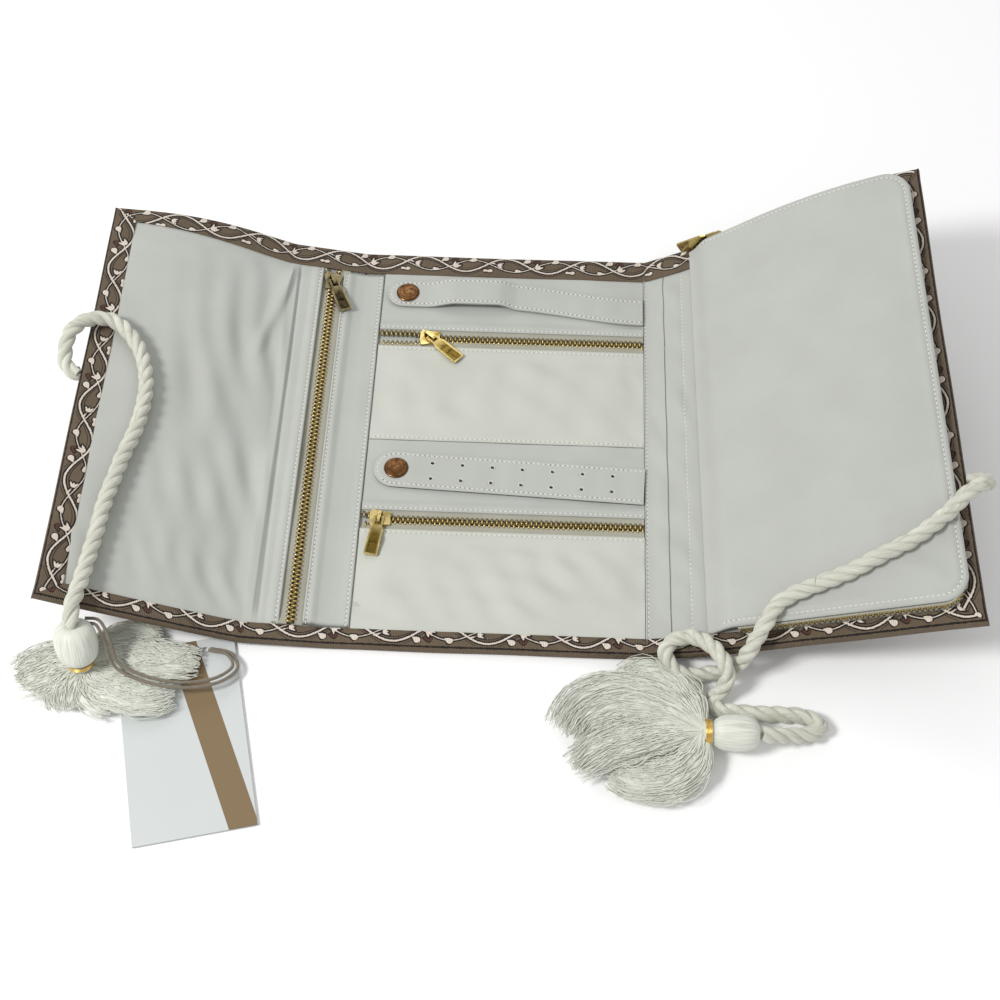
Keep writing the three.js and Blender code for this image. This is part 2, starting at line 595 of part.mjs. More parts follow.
// A slider with its nose towards -x, and the bail turned towards the pull's heading.
function sliderSolid(heading) {
  const half = TOOTH_HEIGHT / 2 + GAP;
  const tail = BEAD_OUTER + GAP;
  const nose = BEAD_OUTER + MOUTH_SPREAD + GAP;
  const outline = (inset) => {
    const shape = new THREE.Shape();
    const [wide, slim] = [nose + inset, tail + inset];
    shape.moveTo(-SLIDER_NOSE, -wide / 2);
    shape.lineTo(-SLIDER_NOSE * 0.8, -wide);
    shape.lineTo(0, -mix(slim, wide, 0.35));
    shape.lineTo(SLIDER_TAIL, -slim);
    shape.lineTo(SLIDER_TAIL, slim);
    shape.lineTo(0, mix(slim, wide, 0.35));
    shape.lineTo(-SLIDER_NOSE * 0.8, wide);
    shape.lineTo(-SLIDER_NOSE, wide / 2);
    return shape;
  };
  const plate = (thickness, base) =>
    solidOf(extrude(outline(FLANGE), thickness), new THREE.Matrix4().makeTranslation(0, 0, base));
  const flange = (side, base, height) => {
    const strip = new THREE.Shape();
    const points = [[-SLIDER_NOSE * 0.8, nose], [0, mix(tail, nose, 0.35)], [SLIDER_TAIL, tail]];
    points.forEach(([x, y], i) => (i ? strip.lineTo(x, side * y) : strip.moveTo(x, side * y)));
    [...points].reverse().forEach(([x, y]) => strip.lineTo(x, side * (y + FLANGE)));
    return solidOf(extrude(strip, height), new THREE.Matrix4().makeTranslation(0, 0, base));
  };
  const diamond = new THREE.Shape();
  diamond.moveTo(-SLIDER_NOSE * 0.95, 0);
  diamond.lineTo(-SLIDER_NOSE * 0.72, -WEDGE_HALF_WIDTH);
  diamond.lineTo(-SLIDER_NOSE * 0.45, 0);
  diamond.lineTo(-SLIDER_NOSE * 0.72, WEDGE_HALF_WIDTH);
  const overlap = PLATE_LOW / 4;
  let body = plate(PLATE_HIGH, half).add(plate(PLATE_LOW, -half - PLATE_LOW));
  body = body.add(solidOf(extrude(diamond, 2 * (half + overlap)),
    new THREE.Matrix4().makeTranslation(0, 0, -half - overlap)));
  const slot = TAPE / 2 + GAP;
  for (const side of [1, -1]) {
    body = body.add(flange(side, slot, half - slot + overlap));
    body = body.add(flange(side, -half - overlap, half - slot + overlap));
  }
  return body.add(bailSolid(heading, half + PLATE_HIGH));
}

// A flat pull that points along +x from the bar of its eye, with a recessed window near its tip.
function pullSolid() {
  const bar = BAIL_LEG / 2;
  const shape = new THREE.Shape();
  const [head, body] = [PULL_HEAD_WIDTH / 2, PULL_WIDTH / 2];
  const neck = bar + PULL_EYE_LENGTH + bar;
  shape.moveTo(-bar, -head);
  shape.lineTo(neck, -head);
  shape.lineTo(neck + head, -body);
  shape.lineTo(PULL_LENGTH - bar, -body);
  shape.lineTo(PULL_LENGTH, -body + bar);
  shape.lineTo(PULL_LENGTH, body - bar);
  shape.lineTo(PULL_LENGTH - bar, body);
  shape.lineTo(neck + head, body);
  shape.lineTo(neck, head);
  shape.lineTo(-bar, head);
  const rectangle = (from, to, half) => {
    const path = new THREE.Path();
    path.moveTo(from, -half);
    path.lineTo(from, half);
    path.lineTo(to, half);
    path.lineTo(to, -half);
    return path;
  };
  shape.holes.push(rectangle(bar, bar + PULL_EYE_LENGTH, PULL_EYE_WIDTH / 2));
  const plate = extrude(shape, PULL_THICKNESS);
  plate.translate(0, 0, -PULL_THICKNESS / 2);
  const rim = (PULL_WIDTH - PULL_WINDOW_WIDTH) / 2;
  const recess = new THREE.BoxGeometry(PULL_WINDOW_LENGTH, PULL_WINDOW_WIDTH, 2 * PULL_RECESS);
  recess.translate(PULL_LENGTH - rim - PULL_WINDOW_LENGTH / 2, 0, PULL_THICKNESS / 2);
  return solidOf(plate).subtract(solidOf(recess));
}

// Slider and pull on a frame whose origin is on the zip's middle line, nose towards -x.
function addSlider(name, frame, heading, droop, look) {
  addPiece(name + "_slider", sliderSolid(heading), look, frame);
  const hanger = new THREE.Group();
  hanger.position.z = TOOTH_HEIGHT / 2 + GAP + PLATE_HIGH + BAIL_TUNNEL / 2;
  hanger.rotation.set(0, radians(droop), radians(heading), "ZYX");
  frame.add(hanger);
  addPiece(name + "_pull", pullSolid(), look, hanger);
}

function frameAt(position, parent = organizer) {
  const frame = new THREE.Group();
  frame.position.copy(position);
  parent.add(frame);
  return frame;
}

function buildCentreZips() {
  const [from, to] = [LEFT_SEAM_X + GAP, RIGHT_SEAM_X - GAP];
  const zips = [
    ["upper_zip", UPPER_ZIP_Y, UPPER_SLIDER_X, UPPER_PULL_HEADING],
    ["lower_zip", LOWER_ZIP_Y, LOWER_SLIDER_X, LOWER_PULL_HEADING],
  ];
  for (const [name, y, slider, heading] of zips) {
    const frame = frameAt(new THREE.Vector3(0, y, ZIP_MIDDLE));
    addPiece(name + "_far_half", zipHalf({ from, to, slider, side: 1 }), "brass", frame);
    addPiece(name + "_near_half", zipHalf({ from, to, slider, side: -1 }), "brass", frame);
    addSlider(name, frameAt(new THREE.Vector3(slider, 0, 0), frame), heading, PULL_DROOP, "brass");
  }
}

// A frame on a wing's surface, tilted with the cloth: x along -Y or +Y of the part, z along its normal.
function buildLongZip() {
  const low = leftWing.at(LONG_ZIP, -HALF_DEPTH + BAND_NEAR, ZIP_MIDDLE);
  const high = leftWing.at(LONG_ZIP, HALF_DEPTH - BAND_FAR, ZIP_MIDDLE);
  const along = low.clone().sub(high).normalize();
  const slope = leftWing.slope(LONG_ZIP, 0);
  const normal = new THREE.Vector3(Math.sin(slope), 0, Math.cos(slope));
  const across = normal.clone().cross(along).normalize();
  const frame = frameAt(high.clone().lerp(low, 0.5));
  frame.quaternion.setFromRotationMatrix(
    new THREE.Matrix4().makeBasis(along, across, along.clone().cross(across)));
  const half = high.distanceTo(low) / 2 - GAP;
  const slider = -(LONG_SLIDER_Y - (low.y + high.y) / 2);
  const span = { from: -half, to: half, slider };
  addPiece("long_zip_right_half", zipHalf({ ...span, side: 1 }), "brass", frame);
  addPiece("long_zip_left_half", zipHalf({ ...span, side: -1 }), "brass", frame);
  const turn = LONG_PULL_HEADING + 90;
  addSlider("long_zip", frameAt(new THREE.Vector3(slider, 0, 0), frame), turn, LONG_PULL_DROOP, "antique");
}

// Straps
function strapOutline(width, length) {
  const shape = new THREE.Shape();
  const half = width / 2;
  shape.moveTo(length, half);
  shape.lineTo(half, half);
  shape.absarc(half, 0, half, Math.PI / 2, -Math.PI / 2, false);
  shape.lineTo(length, -half);
  return shape;
}

function buildEarringStrap() {
  const base = LINING_TOP + STRAP_BASE;
  const left = new THREE.Vector3(EARRING_LEFT_X, EARRING_LEFT_Y, base);
  const right = new THREE.Vector3(RIGHT_SEAM_X - GAP, EARRING_RIGHT_Y, base);
  const frame = frameAt(left);
  frame.rotation.z = Math.atan2(right.y - left.y, right.x - left.x);
  const shape = strapOutline(EARRING_WIDTH, left.distanceTo(right));
  const circle = (x, y, radius) => {
    const path = new THREE.Path();
    path.absarc(x, y, radius, 0, 2 * Math.PI, true);
    return path;
  };
  const snap = EARRING_SNAP_X - EARRING_LEFT_X;
  shape.holes.push(circle(snap, 0, SNAP_BARREL_RADIUS + GAP));
  for (let column = 0; column < HOLE_COLUMNS; column++)
    for (const side of [1, -1]) {
      const x = HOLE_FIRST_X + column * HOLE_PITCH - EARRING_LEFT_X;
      shape.holes.push(circle(x, (side * HOLE_ROW_GAP) / 2, HOLE_RADIUS));
    }
  addPiece("earring_strap", solidOf(extrude(shape, STRAP_THICKNESS, { curveSegments: 4 })),
    "lining", frame);
  addSnap("earring", frameAt(new THREE.Vector3(snap, 0, 0), frame));
}

function buildRingStrap() {
  const base = LINING_TOP + STRAP_BASE;
  const left = new THREE.Vector3(RING_LEFT_X, RING_LEFT_Y, base);
  const length = RIGHT_SEAM_X - GAP - RING_LEFT_X;
  const [rise, full, fall, end] = RING_ARCH_XS.map((x) => x - RING_LEFT_X);
  const lift = (x) => RING_ARCH * smooth(x, rise, full) * (1 - smooth(x, fall, end));
  const swerve = (x) => (RING_RIGHT_Y - RING_LEFT_Y) * smooth(x, fall, length);
  const tip = RING_WIDTH / 2;
  const stations = [0.02, 0.12, 0.3, 0.6, 1].map((share) => share * tip);
  const curve = [rise, mix(rise, full, 0.3), mix(rise, full, 0.5), mix(rise, full, 0.7), full]
    .concat([fall, mix(fall, end, 0.3), mix(fall, end, 0.5), mix(fall, end, 0.7), end])
    .concat([mix(end, length, 0.35), mix(end, length, 0.7), length]);
  stations.push(...curve);
  const strap = slab(stations.length, 2, (i, j, above) => {
    const x = stations[i];
    const short = Math.max(tip - x, 0);
    const half = Math.sqrt(tip * tip - short * short);
    return new THREE.Vector3(x, swerve(x) + (j ? half : -half), lift(x) + above * STRAP_THICKNESS);
  });
  const frame = frameAt(left);
  const snap = RING_SNAP_X - RING_LEFT_X;
  const hole = new THREE.CylinderGeometry(SNAP_BARREL_RADIUS + GAP, SNAP_BARREL_RADIUS + GAP,
    STRAP_THICKNESS + 2 * OVERRUN, SNAP_SIDES);
  const upright = new THREE.Matrix4().makeRotationX(Math.PI / 2).setPosition(snap, 0, STRAP_THICKNESS / 2);
  addPiece("ring_strap", strap.subtract(solidOf(hole, upright)), "lining", frame);
  addSnap("ring", frameAt(new THREE.Vector3(snap, 0, 0), frame));
}

// A snap: the cap with its socket sits in the strap, the stud on the lining under it.
function addSnap(name, frame) {
  const turned = (profile) => {
    const lathe = new THREE.LatheGeometry(profile.map(([r, z]) => new THREE.Vector2(r, z)), SNAP_SIDES);
    return solidOf(lathe, new THREE.Matrix4().makeRotationX(Math.PI / 2));
  };
  const flat = STRAP_THICKNESS + GAP;
  const cap = turned([
    [0, SNAP_BORE_DEPTH], [SNAP_BORE_RADIUS, SNAP_BORE_DEPTH], [SNAP_BORE_RADIUS, 0],
    [SNAP_BARREL_RADIUS, 0], [SNAP_BARREL_RADIUS, flat], [SNAP_RADIUS, flat],
    [SNAP_RADIUS, flat + SNAP_CAP * 0.3], [SNAP_RADIUS * 0.82, flat + SNAP_CAP * 0.8],
    [SNAP_RADIUS * 0.45, flat + SNAP_CAP], [0, flat + SNAP_CAP],
  ]);
  addPiece(name + "_snap_cap", cap, "copper", frame);
  const floor = GAP - STRAP_BASE;
  const stud = turned([
    [0, floor], [STUD_RADIUS, floor], [STUD_RADIUS, floor + STUD_FLANGE],
    [STUD_NUB_RADIUS, floor + STUD_FLANGE], [STUD_NUB_RADIUS, floor + STUD_FLANGE + STUD_NUB_HEIGHT],
    [0, floor + STUD_FLANGE + STUD_NUB_HEIGHT],
  ]);
  addPiece(name + "_snap_stud", stud, "copper", frame);
}

// Outline of the pouch in the wing's own d and t, inset from the page's edge. It runs from the near end
// of the seam round the outer side to the far end, with the outward direction at each point.
function pouchPath(from, inset) {
  const end = RIGHT - POUCH_END - inset;
  const near = -POUCH_NEAR + inset;
  const far = POUCH_FAR - inset;
  const radius = POUCH_CORNER - inset;
  const lines = gridLines([from, end - radius], RIGHT, rightWing.cells[0], 0);
  const arc = (t, start) => CORNER_ANGLES.map((turn) => {
    const angle = radians(start + turn);
    const [nd, nt] = [Math.cos(angle), Math.sin(angle)];
    return { d: end - radius + radius * nd, t: t + radius * nt, nd, nt };
  });
  const side = [near + radius, far - radius];
  const inner = gridLines(side, DEPTH, rightWing.cells[1], -HALF_DEPTH).slice(1, -1);
  return [
    ...lines.slice(0, -1).map((d) => ({ d, t: near, nd: 0, nt: -1 })),
    ...arc(near + radius, -90),
    ...inner.map((t) => ({ d: end, t, nd: 1, nt: 0 })),
    ...arc(far - radius, 0),
    ...lines.slice(0, -1).reverse().map((d) => ({ d, t: far, nd: 0, nt: 1 })),
  ];
}

const CORNER_ANGLES = [0, 30, 60, 90];
const PAGE_SEAM = RIM + GAP;
const LOWER_RAIL_TOP = PAGE_SEAM + POUCH_LOWER_RAIL;
const UPPER_RAIL_BASE = LOWER_RAIL_TOP + GAP;
const PAGE_BASE = UPPER_RAIL_BASE + POUCH_UPPER_RAIL + GAP;
const RAIL_INSET = POUCH_LIP + POUCH_RAIL / 2;
const PAGE_LEDGE = RAIL_INSET + POUCH_RAIL; // width of the page's rim above its zip
const RAIL_START = POUCH_SLIDER - POUCH_SLIDER_LENGTH / 4;

function railSolid(low, high) {
  const path = pouchPath(RAIL_START, RAIL_INSET);
  return slab(path.length, 2, (i, j, side) => {
    const { d, t, nd, nt } = path[i];
    const out = (side - 0.5) * POUCH_RAIL;
    return rightWing.at(d + nd * out, t + nt * out, j ? high : low);
  });
}

// Distance in from the page's three free edges, with its outer corners rounded
function pageInset(d, t) {
  const end = RIGHT - POUCH_END - d;
  const side = Math.min(t + POUCH_NEAR, POUCH_FAR - t);
  const [a, b] = [POUCH_CORNER - end, POUCH_CORNER - side];
  return a > 0 && b > 0 ? POUCH_CORNER - Math.hypot(a, b) : Math.min(end, side);
}

function pageHeights(d, t) {
  const rise = smooth(d, POUCH_INNER, POUCH_INNER + POUCH_RISE);
  const inset = pageInset(d, t);
  const sag = PAGE_SAG * smooth(inset, PAGE_LEDGE, 2 * PAGE_LEDGE);
  const low = mix(PAGE_SEAM, PAGE_BASE - sag, rise);
  const rim = THREE.MathUtils.clamp(inset / PAGE_ROUNDING, 0, 1);
  const round = Math.sqrt(1 - (1 - rim) ** 2);
  const across = 1 - (2 * (t + POUCH_NEAR) / (POUCH_NEAR + POUCH_FAR) - 1) ** 4;
  const along = 1 - ((2 * (d - POUCH_INNER)) / (RIGHT - POUCH_END - POUCH_INNER) - 1) ** 4;
  const full = PAGE_BASE + PAGE_EDGE * mix(0.5, 1, round) + PAGE_CROWN * across * along;
  return { low, high: mix(PAGE_SEAM + PAGE_SEAM_EDGE, full, rise) };
}

function pageSolid() {
  const end = RIGHT - POUCH_END;
  const corner = CORNER_ANGLES.map((turn) => end - POUCH_CORNER * (1 - Math.sin(radians(turn))));
  corner[corner.length - 1] = end - GAP / 2;
  corner.push(end - PAGE_LEDGE, end - 2 * PAGE_LEDGE);
  corner.sort((a, b) => a - b);
  const climbing = [0, 0.25, 0.5, 0.75, 1].map((share) => POUCH_INNER + share * POUCH_RISE);
  const rows = gridLines([...climbing, ...corner], RIGHT, rightWing.cells[0], 0);
  return slab(rows.length, PAGE_SHARES.length, (i, j, side) => {
    const d = rows[i];
    const short = Math.max(POUCH_CORNER - (end - d), 0);
    const drawn = POUCH_CORNER - Math.sqrt(POUCH_CORNER ** 2 - short ** 2);
    const t = mix(-POUCH_NEAR + drawn, POUCH_FAR - drawn, PAGE_SHARES[j]);
    const { low, high } = pageHeights(d, t);
    return rightWing.at(d, t, side ? high : low);
  });
}

const PAGE_SHARES = [0, 0.008, 0.02, 0.035, 0.1, 0.3, 0.5, 0.7, 0.9, 0.965, 0.98, 0.992, 1];

// The pouch's slider stands on the far side of the wing: z points away from the pouch, nose towards -x.
function pouchSliderSolid() {
  const [length, half] = [POUCH_SLIDER_LENGTH, POUCH_SLIDER_LENGTH / 2];
  const outer = POUCH_RAIL / 2 + POUCH_LIP + GAP;
  const inner = -POUCH_RAIL / 2 - GAP;
  const plate = (height, low, high) => {
    const shape = new THREE.Shape();
    const [wide, slim] = [height / 2, height / 2 - GAP];
    shape.moveTo(-half, -wide * 0.6);
    shape.lineTo(-half * 0.7, -wide);
    shape.lineTo(half, -slim);
    shape.lineTo(half, slim);
    shape.lineTo(-half * 0.7, wide);
    shape.lineTo(-half, wide * 0.6);
    return solidOf(extrude(shape, high - low), new THREE.Matrix4().makeTranslation(0, 0, low));
  };
  const neck = new THREE.BoxGeometry(length / 4 - 2 * GAP, POUCH_SLIDER_NECK, outer - inner + PLATE_LOW);
  neck.translate(-half + length / 8, 0, (outer + inner) / 2);
  return plate(POUCH_SLIDER_HEIGHT, outer, outer + PLATE_HIGH)
    .add(plate(POUCH_SLIDER_INNER_HEIGHT, inner - PLATE_LOW, inner))
    .add(solidOf(neck))
    .add(bailSolid(POUCH_PULL_HEADING, outer + PLATE_HIGH));
}

function buildPouch() {
  addPiece("pouch_page", pageSolid(), "lining");
  addPiece("pouch_zip_lower", railSolid(PAGE_SEAM, LOWER_RAIL_TOP), "brass");
  addPiece("pouch_zip_upper", railSolid(UPPER_RAIL_BASE, UPPER_RAIL_BASE + POUCH_UPPER_RAIL), "brass");
  const height = LOWER_RAIL_TOP + GAP / 2;
  const t = POUCH_FAR - RAIL_INSET;
  const at = rightWing.at(POUCH_SLIDER, t, height);
  const along = rightWing.at(POUCH_SLIDER + POUCH_SLIDER_TRAVEL, t, height).sub(at).normalize();
  const outward = new THREE.Vector3(0, 1, 0);
  const frame = frameAt(at);
  frame.quaternion.setFromRotationMatrix(
    new THREE.Matrix4().makeBasis(along, outward.clone().cross(along), outward));
  addPiece("pouch_zip_slider", pouchSliderSolid(), "brass", frame);
  const hanger = new THREE.Group();
  hanger.position.z = POUCH_RAIL / 2 + POUCH_LIP + GAP + PLATE_HIGH + BAIL_TUNNEL / 2;
  hanger.rotation.z = radians(POUCH_PULL_HEADING);
  frame.add(hanger);
  addPiece("pouch_zip_pull", pullSolid(), "brass", hanger);
}

// Cords: a tube of a regular section along a stretch of a path.
class Stretch extends THREE.Curve {
  constructor(path, from, to) {
    super();
    Object.assign(this, { path, from, to });
  }
  getPoint(share) {
    return this.path.getPointAt(mix(this.from, this.to, share));
  }
}

function cordSolid(path, diameter, spacing, from = 0, to = 1) {
  const section = new THREE.Shape();
  for (let k = 0; k < CORD_SIDES; k++) {
    const angle = (2 * Math.PI * k) / CORD_SIDES;
    const [x, y] = [(Math.cos(angle) * diameter) / 2, (Math.sin(angle) * diameter) / 2];
    if (k) section.lineTo(x, y);
    else section.moveTo(x, y);
  }
  const steps = Math.max(Math.round(((to - from) * path.getLength()) / spacing), 3);
  const extrudePath = new Stretch(path, from, to);
  return solidOf(new THREE.ExtrudeGeometry(section, { steps, extrudePath, bevelEnabled: false }));
}

const curveThrough = (places) => new THREE.CatmullRomCurve3(places, false, "centripetal");
const points = (list) => list.map(([x, y, z]) => new THREE.Vector3(x, y + NEAR_SHIFT, z));
const depthOf = (t) => (t * DEPTH) / ROUTE_DEPTH;
const onPanel = (zone) => ([d, t, h]) => zone.at(d, depthOf(t), h);
const onPage = ([d, t]) =>
  rightWing.at(d, depthOf(t), pageHeights(d, depthOf(t)).high + GAP + CORD / 2);

// Where each stretch of cord lies: on a panel as [along, depth, height], on the page as [along, depth].
const LEFT_CORD_ON_PANEL = [
  [100.6, 9, 2.5], [104, 9.3, 2.6], [108, 13.5, 4], [109, 21.5, 8.5], [107.3, 29, 11.4], [102, 36, 12],
  [96, 40.2, 10.6], [89, 41.3, 9.5], [81.4, 37, 9.3], [72, 24.9, 9.1], [66, 4, 9], [66.3, -18, 9],
  [71.5, -43.7, 9], [75.5, -68, 9], [77.3, -91, 9], [79.5, -111, 9.5], [81, -120.5, 9.6],
];
const LEFT_CORD_HANGING = [[-193, -129.4, 41], [-193.3, -133.2, 37.4], [-193.5, -133.9, 35.3]];
const RIGHT_CORD_EDGE = [
  [136.4, -53, 2.5], [140, -53.2, 2.6], [144, -56, 5], [145, -59.5, 10], [142, -63.5, 15.4], [135, -68.5, 18],
];
const RIGHT_CORD_ON_PAGE = [
  [127, -74.5], [119.5, -80.1], [108.4, -86.6], [93.1, -92.5], [78.2, -98.4], [63.4, -102.4],
  [49, -106.4], [41.6, -110.5],
];
const RIGHT_CORD_OFF_PAGE = [[130.8, -118.5, 30.4], [126.8, -124.5, 26.4]];
const RIGHT_CORD_UNDER = [
  [124.6, -127.6, 22.2], [122.3, -129.6, 17.6], [119.8, -130.9, 12.2], [116, -131.3, 7.6], [109.5, -132.2, 5],
  [101, -133.4, 4.4],
];
const RIGHT_CORD_LOOP = [
  [97.2, -133.8, 4.4], [91, -133, 6.4], [86.6, -129, 9.6], [85.6, -124.2, 11.6], [89, -120, 12.6],
  [96, -118.4, 14.2], [103, -121, 16.2], [108.8, -127, 18.4], [112.8, -134, 18], [114.4, -139.2, 12.6],
  [111.6, -143, 7], [108, -146.6, 4.4], [110, -150.8, 4.3], [117.4, -152, 4.3], [128.6, -152.6, 4.3],
  [140.4, -152.6, 4.3], [152, -153.6, 4.3], [158.2, -157.8, 4.5], [155.4, -162, 5.2], [146, -164.4, 7],
  [136.5, -166.2, 10.4], [129.6, -166.5, 11.6],
];
const TAG_LOOP = [
  [-187.4, -132, 38.4], [-181.5, -133.5, 33], [-178.4, -138, 22], [-175.5, -143, 14], [-168, -147, 11], [-146, -151, 9],
  [-127.5, -147, 7.4], [-120, -138.5, 5.2], [-124.5, -130.6, 3.4], [-134, -128.2, 2.7],
];
const CORD_STEP = 10; // length of cord for each ring of its tube
const TIGHT_CORD_STEP = 7;

function buildCords() {
  const left = curveThrough([
    ...LEFT_CORD_ON_PANEL.map(onPanel(leftPanel)), ...points(LEFT_CORD_HANGING),
  ]);
  addPiece("left_cord", cordSolid(left, CORD, CORD_STEP), "rope");
  const runs = [
    RIGHT_CORD_EDGE.map(onPanel(rightWing)),
    [...RIGHT_CORD_ON_PAGE.map(onPage), ...points(RIGHT_CORD_OFF_PAGE)],
    points(RIGHT_CORD_UNDER),
    points(RIGHT_CORD_LOOP),
  ];
  const right = curveThrough(runs.flat());
  const samples = runs.flat().length * 20;
  const lengths = right.getLengths(samples);
  const total = lengths[samples];
  const names = ["edge", "page", "under", "tail"];
  let start = 0;
  let from = 0;
  runs.forEach((run, k) => {
    start += run.length;
    const last = k === runs.length - 1;
    const split = last ? total : lengths[Math.round((samples * start) / (runs.flat().length - 1))];
    const to = last ? 1 : (split - GAP / 2) / total;
    const spacing = k === 1 ? CORD_STEP : TIGHT_CORD_STEP;
    addPiece("right_cord_" + names[k], cordSolid(right, CORD, spacing, from, to), "rope");
    from = (split + GAP / 2) / total;
  });
  addPiece("tag_loop", cordSolid(curveThrough(points(TAG_LOOP)), LOOP_CORD, CORD_STEP), "elastic");
}

// A closed body through rings of points, with a fan at each end.
function loft(rings) {
  const count = rings[0].length;
  const positions = [];
  const triangles = [];
  rings.forEach((ring) => ring.forEach((place) => positions.push(...place.toArray())));
  for (let k = 0; k + 1 < rings.length; k++)
    for (let i = 0; i < count; i++) {
      const [a, b] = [k * count + i, k * count + ((i + 1) % count)];
      triangles.push(a, b, b + count, a, b + count, a + count);
    }
  [[0, false], [rings.length - 1, true]].forEach(([k, last]) => {
    const middle = new THREE.Vector3();
    rings[k].forEach((place) => middle.addScaledVector(place, 1 / count));
    const hub = positions.length / 3;
    positions.push(...middle.toArray());
    for (let i = 0; i < count; i++) {
      const [a, b] = [k * count + i, k * count + ((i + 1) % count)];
      triangles.push(...(last ? [hub, a, b] : [hub, b, a]));
    }
  });
  return solidFrom(positions, triangles);
}

// A tassel's head with its neck, along z from the neck's end, and the band of thread round the neck
function addTassel(name, end, direction) {
  const frame = frameAt(new THREE.Vector3(end.x, end.y + NEAR_SHIFT, end.z));
  const axis = new THREE.Vector3(direction.x, direction.y, direction.z).normalize();
  frame.quaternion.setFromUnitVectors(new THREE.Vector3(0, 0, 1), axis);
  const turned = (profile) => {
    const lathe = new THREE.LatheGeometry(profile.map(([r, z]) => new THREE.Vector2(r, z)), LATHE_SIDES);
    return solidOf(lathe, new THREE.Matrix4().makeRotationX(Math.PI / 2));
  };
  const barrel = HEAD_SHARES.map(([r, z]) => [r * HEAD_RADIUS, NECK_LENGTH + z * HEAD_LENGTH]);
  addPiece(name + "_head",
    turned([[0, 0], [NECK_RADIUS, 0], [NECK_RADIUS, NECK_LENGTH], ...barrel]), "thread", frame);
  const inside = NECK_RADIUS + GAP;
  const middle = NECK_LENGTH / 2;
  const [low, high] = [middle - THREAD_BAND / 2, middle + THREAD_BAND / 2];
  const crest = inside + THREAD_BAND_WALL;
  addPiece(name + "_band", turned([
    [inside, low], [crest - GAP, low], [crest, middle], [crest - GAP, high], [inside, high], [inside, low],
  ]), "gold", frame);
}

const HEAD_SHARES = [[0.72, 0.05], [0.95, 0.25], [1, 0.5], [0.93, 0.75], [0.7, 0.93], [0.45, 1], [0, 1]];

// Right skirt: how far along, its two edges across and its height, as shares
const FAN_SHARES = [
  [0, -0.13, 0.13, 0.62, 0.38], [0.05, -0.3, 0.3, 0.9, 0.2], [0.14, -0.62, 0.62, 1, 0.02],
  [0.28, -0.82, 0.84, 0.98, 0], [0.45, -0.93, 1.02, 0.85, 0], [0.7, -0.9, 1.02, 0.68, 0],
  [0.88, -0.66, 0.8, 0.5, 0], [1, -0.3, 0.42, 0.3, 0],
];
const FAN_SIDES = 20;
const FAN_LOBES = 5;
const FAN_LOBE_SHARE = 0.09;

function buildRightTassel() {
  addTassel("right_tassel", RIGHT_TASSEL, { x: 1, y: 0, z: 0 });
  const start = RIGHT_TASSEL.x - GAP;
  const rings = FAN_SHARES.map(([along, near, far, top, bottom]) => {
    const x = start - along * FAN_LENGTH;
    const [low, high] = [bottom * FAN_HEIGHT, top * FAN_HEIGHT];
    const [a, b] = [near * FAN_HALF_WIDTH, far * FAN_HALF_WIDTH];
    return Array.from({ length: FAN_SIDES }, (_, i) => {
      const angle = (2 * Math.PI * i) / FAN_SIDES;
      const [c, s] = [Math.cos(angle), Math.sin(angle)];
      const lobe = 1 + FAN_LOBE_SHARE * along * Math.cos(FAN_LOBES * Math.acos(c) * 2);
      const y = RIGHT_TASSEL.y + NEAR_SHIFT + mix(a, b, (1 + c) / 2);
      const z = mix(low, high, 0.5) + (s * (high - low) * (s > 0 ? lobe : 1)) / 2;
      return new THREE.Vector3(x, y, Math.max(z, 0));
    });
  });
  addPiece("right_tassel_skirt", loft(rings), "thread");
}

// Left skirt: how far it spreads at equal turns from +x, and its height from the middle to its rim
const MOUND_SPREAD_SHARES = [
  0.86, 0.66, 0.54, 0.5, 0.47, 0.52, 0.6, 0.72, 0.84, 0.9, 0.78, 0.6, 0.52, 0.5, 0.6, 0.82, 0.96, 1,
];
const MOUND_RINGS_SHARES = [[1, 0], [1, 0.4], [0.86, 0.75], [0.55, 0.95], [0.22, 1]];

function buildLeftTassel() {
  addTassel("left_tassel", LEFT_TASSEL, LEFT_TASSEL_LEAN);
  const sides = MOUND_SPREAD_SHARES.length;
  const rings = MOUND_RINGS_SHARES.map(([out, up]) =>
    MOUND_SPREAD_SHARES.map((spread, i) => {
      const angle = (2 * Math.PI * i) / sides;
      const reach = spread * out * MOUND_REACH;
      return new THREE.Vector3(MOUND_CENTRE.x + reach * Math.cos(angle),
        MOUND_CENTRE.y + NEAR_SHIFT + reach * Math.sin(angle), MOUND_BASE + up * MOUND_HEIGHT);
    }));
  addPiece("left_tassel_skirt", loft(rings), "thread");
}

function buildTag() {
  const card = () => {
    const shape = new THREE.Shape();
    shape.moveTo(0, 0);
    shape.lineTo(TAG_WIDTH, 0);
    shape.lineTo(TAG_WIDTH, TAG_LENGTH);
    shape.lineTo(0, TAG_LENGTH);
    const hole = new THREE.Path();
    hole.absarc(TAG_WIDTH * TAG_HOLE_SHARE, TAG_LENGTH - TAG_HOLE_INSET, TAG_HOLE_RADIUS, 0, 2 * Math.PI, true);
    shape.holes.push(hole);
    return solidOf(extrude(shape, TAG_CARD));
  };
  const frame = frameAt(new THREE.Vector3(TAG_CORNER.x, TAG_CORNER.y + NEAR_SHIFT, 0));
  frame.rotation.z = radians(TAG_TURN);
  addPiece("tag_backing_card", card(), "card", frame);
  addPiece("tag_card", card(), "card", frameAt(new THREE.Vector3(0, 0, TAG_CARD + GAP), frame));
}

const TAG_HOLE_SHARE = 0.75;

buildPanels();
buildCentreZips();
buildLongZip();
buildEarringStrap();
buildRingStrap();
buildPouch();
buildCords();
buildRightTassel();
buildLeftTassel();
buildTag();

export default organizer;
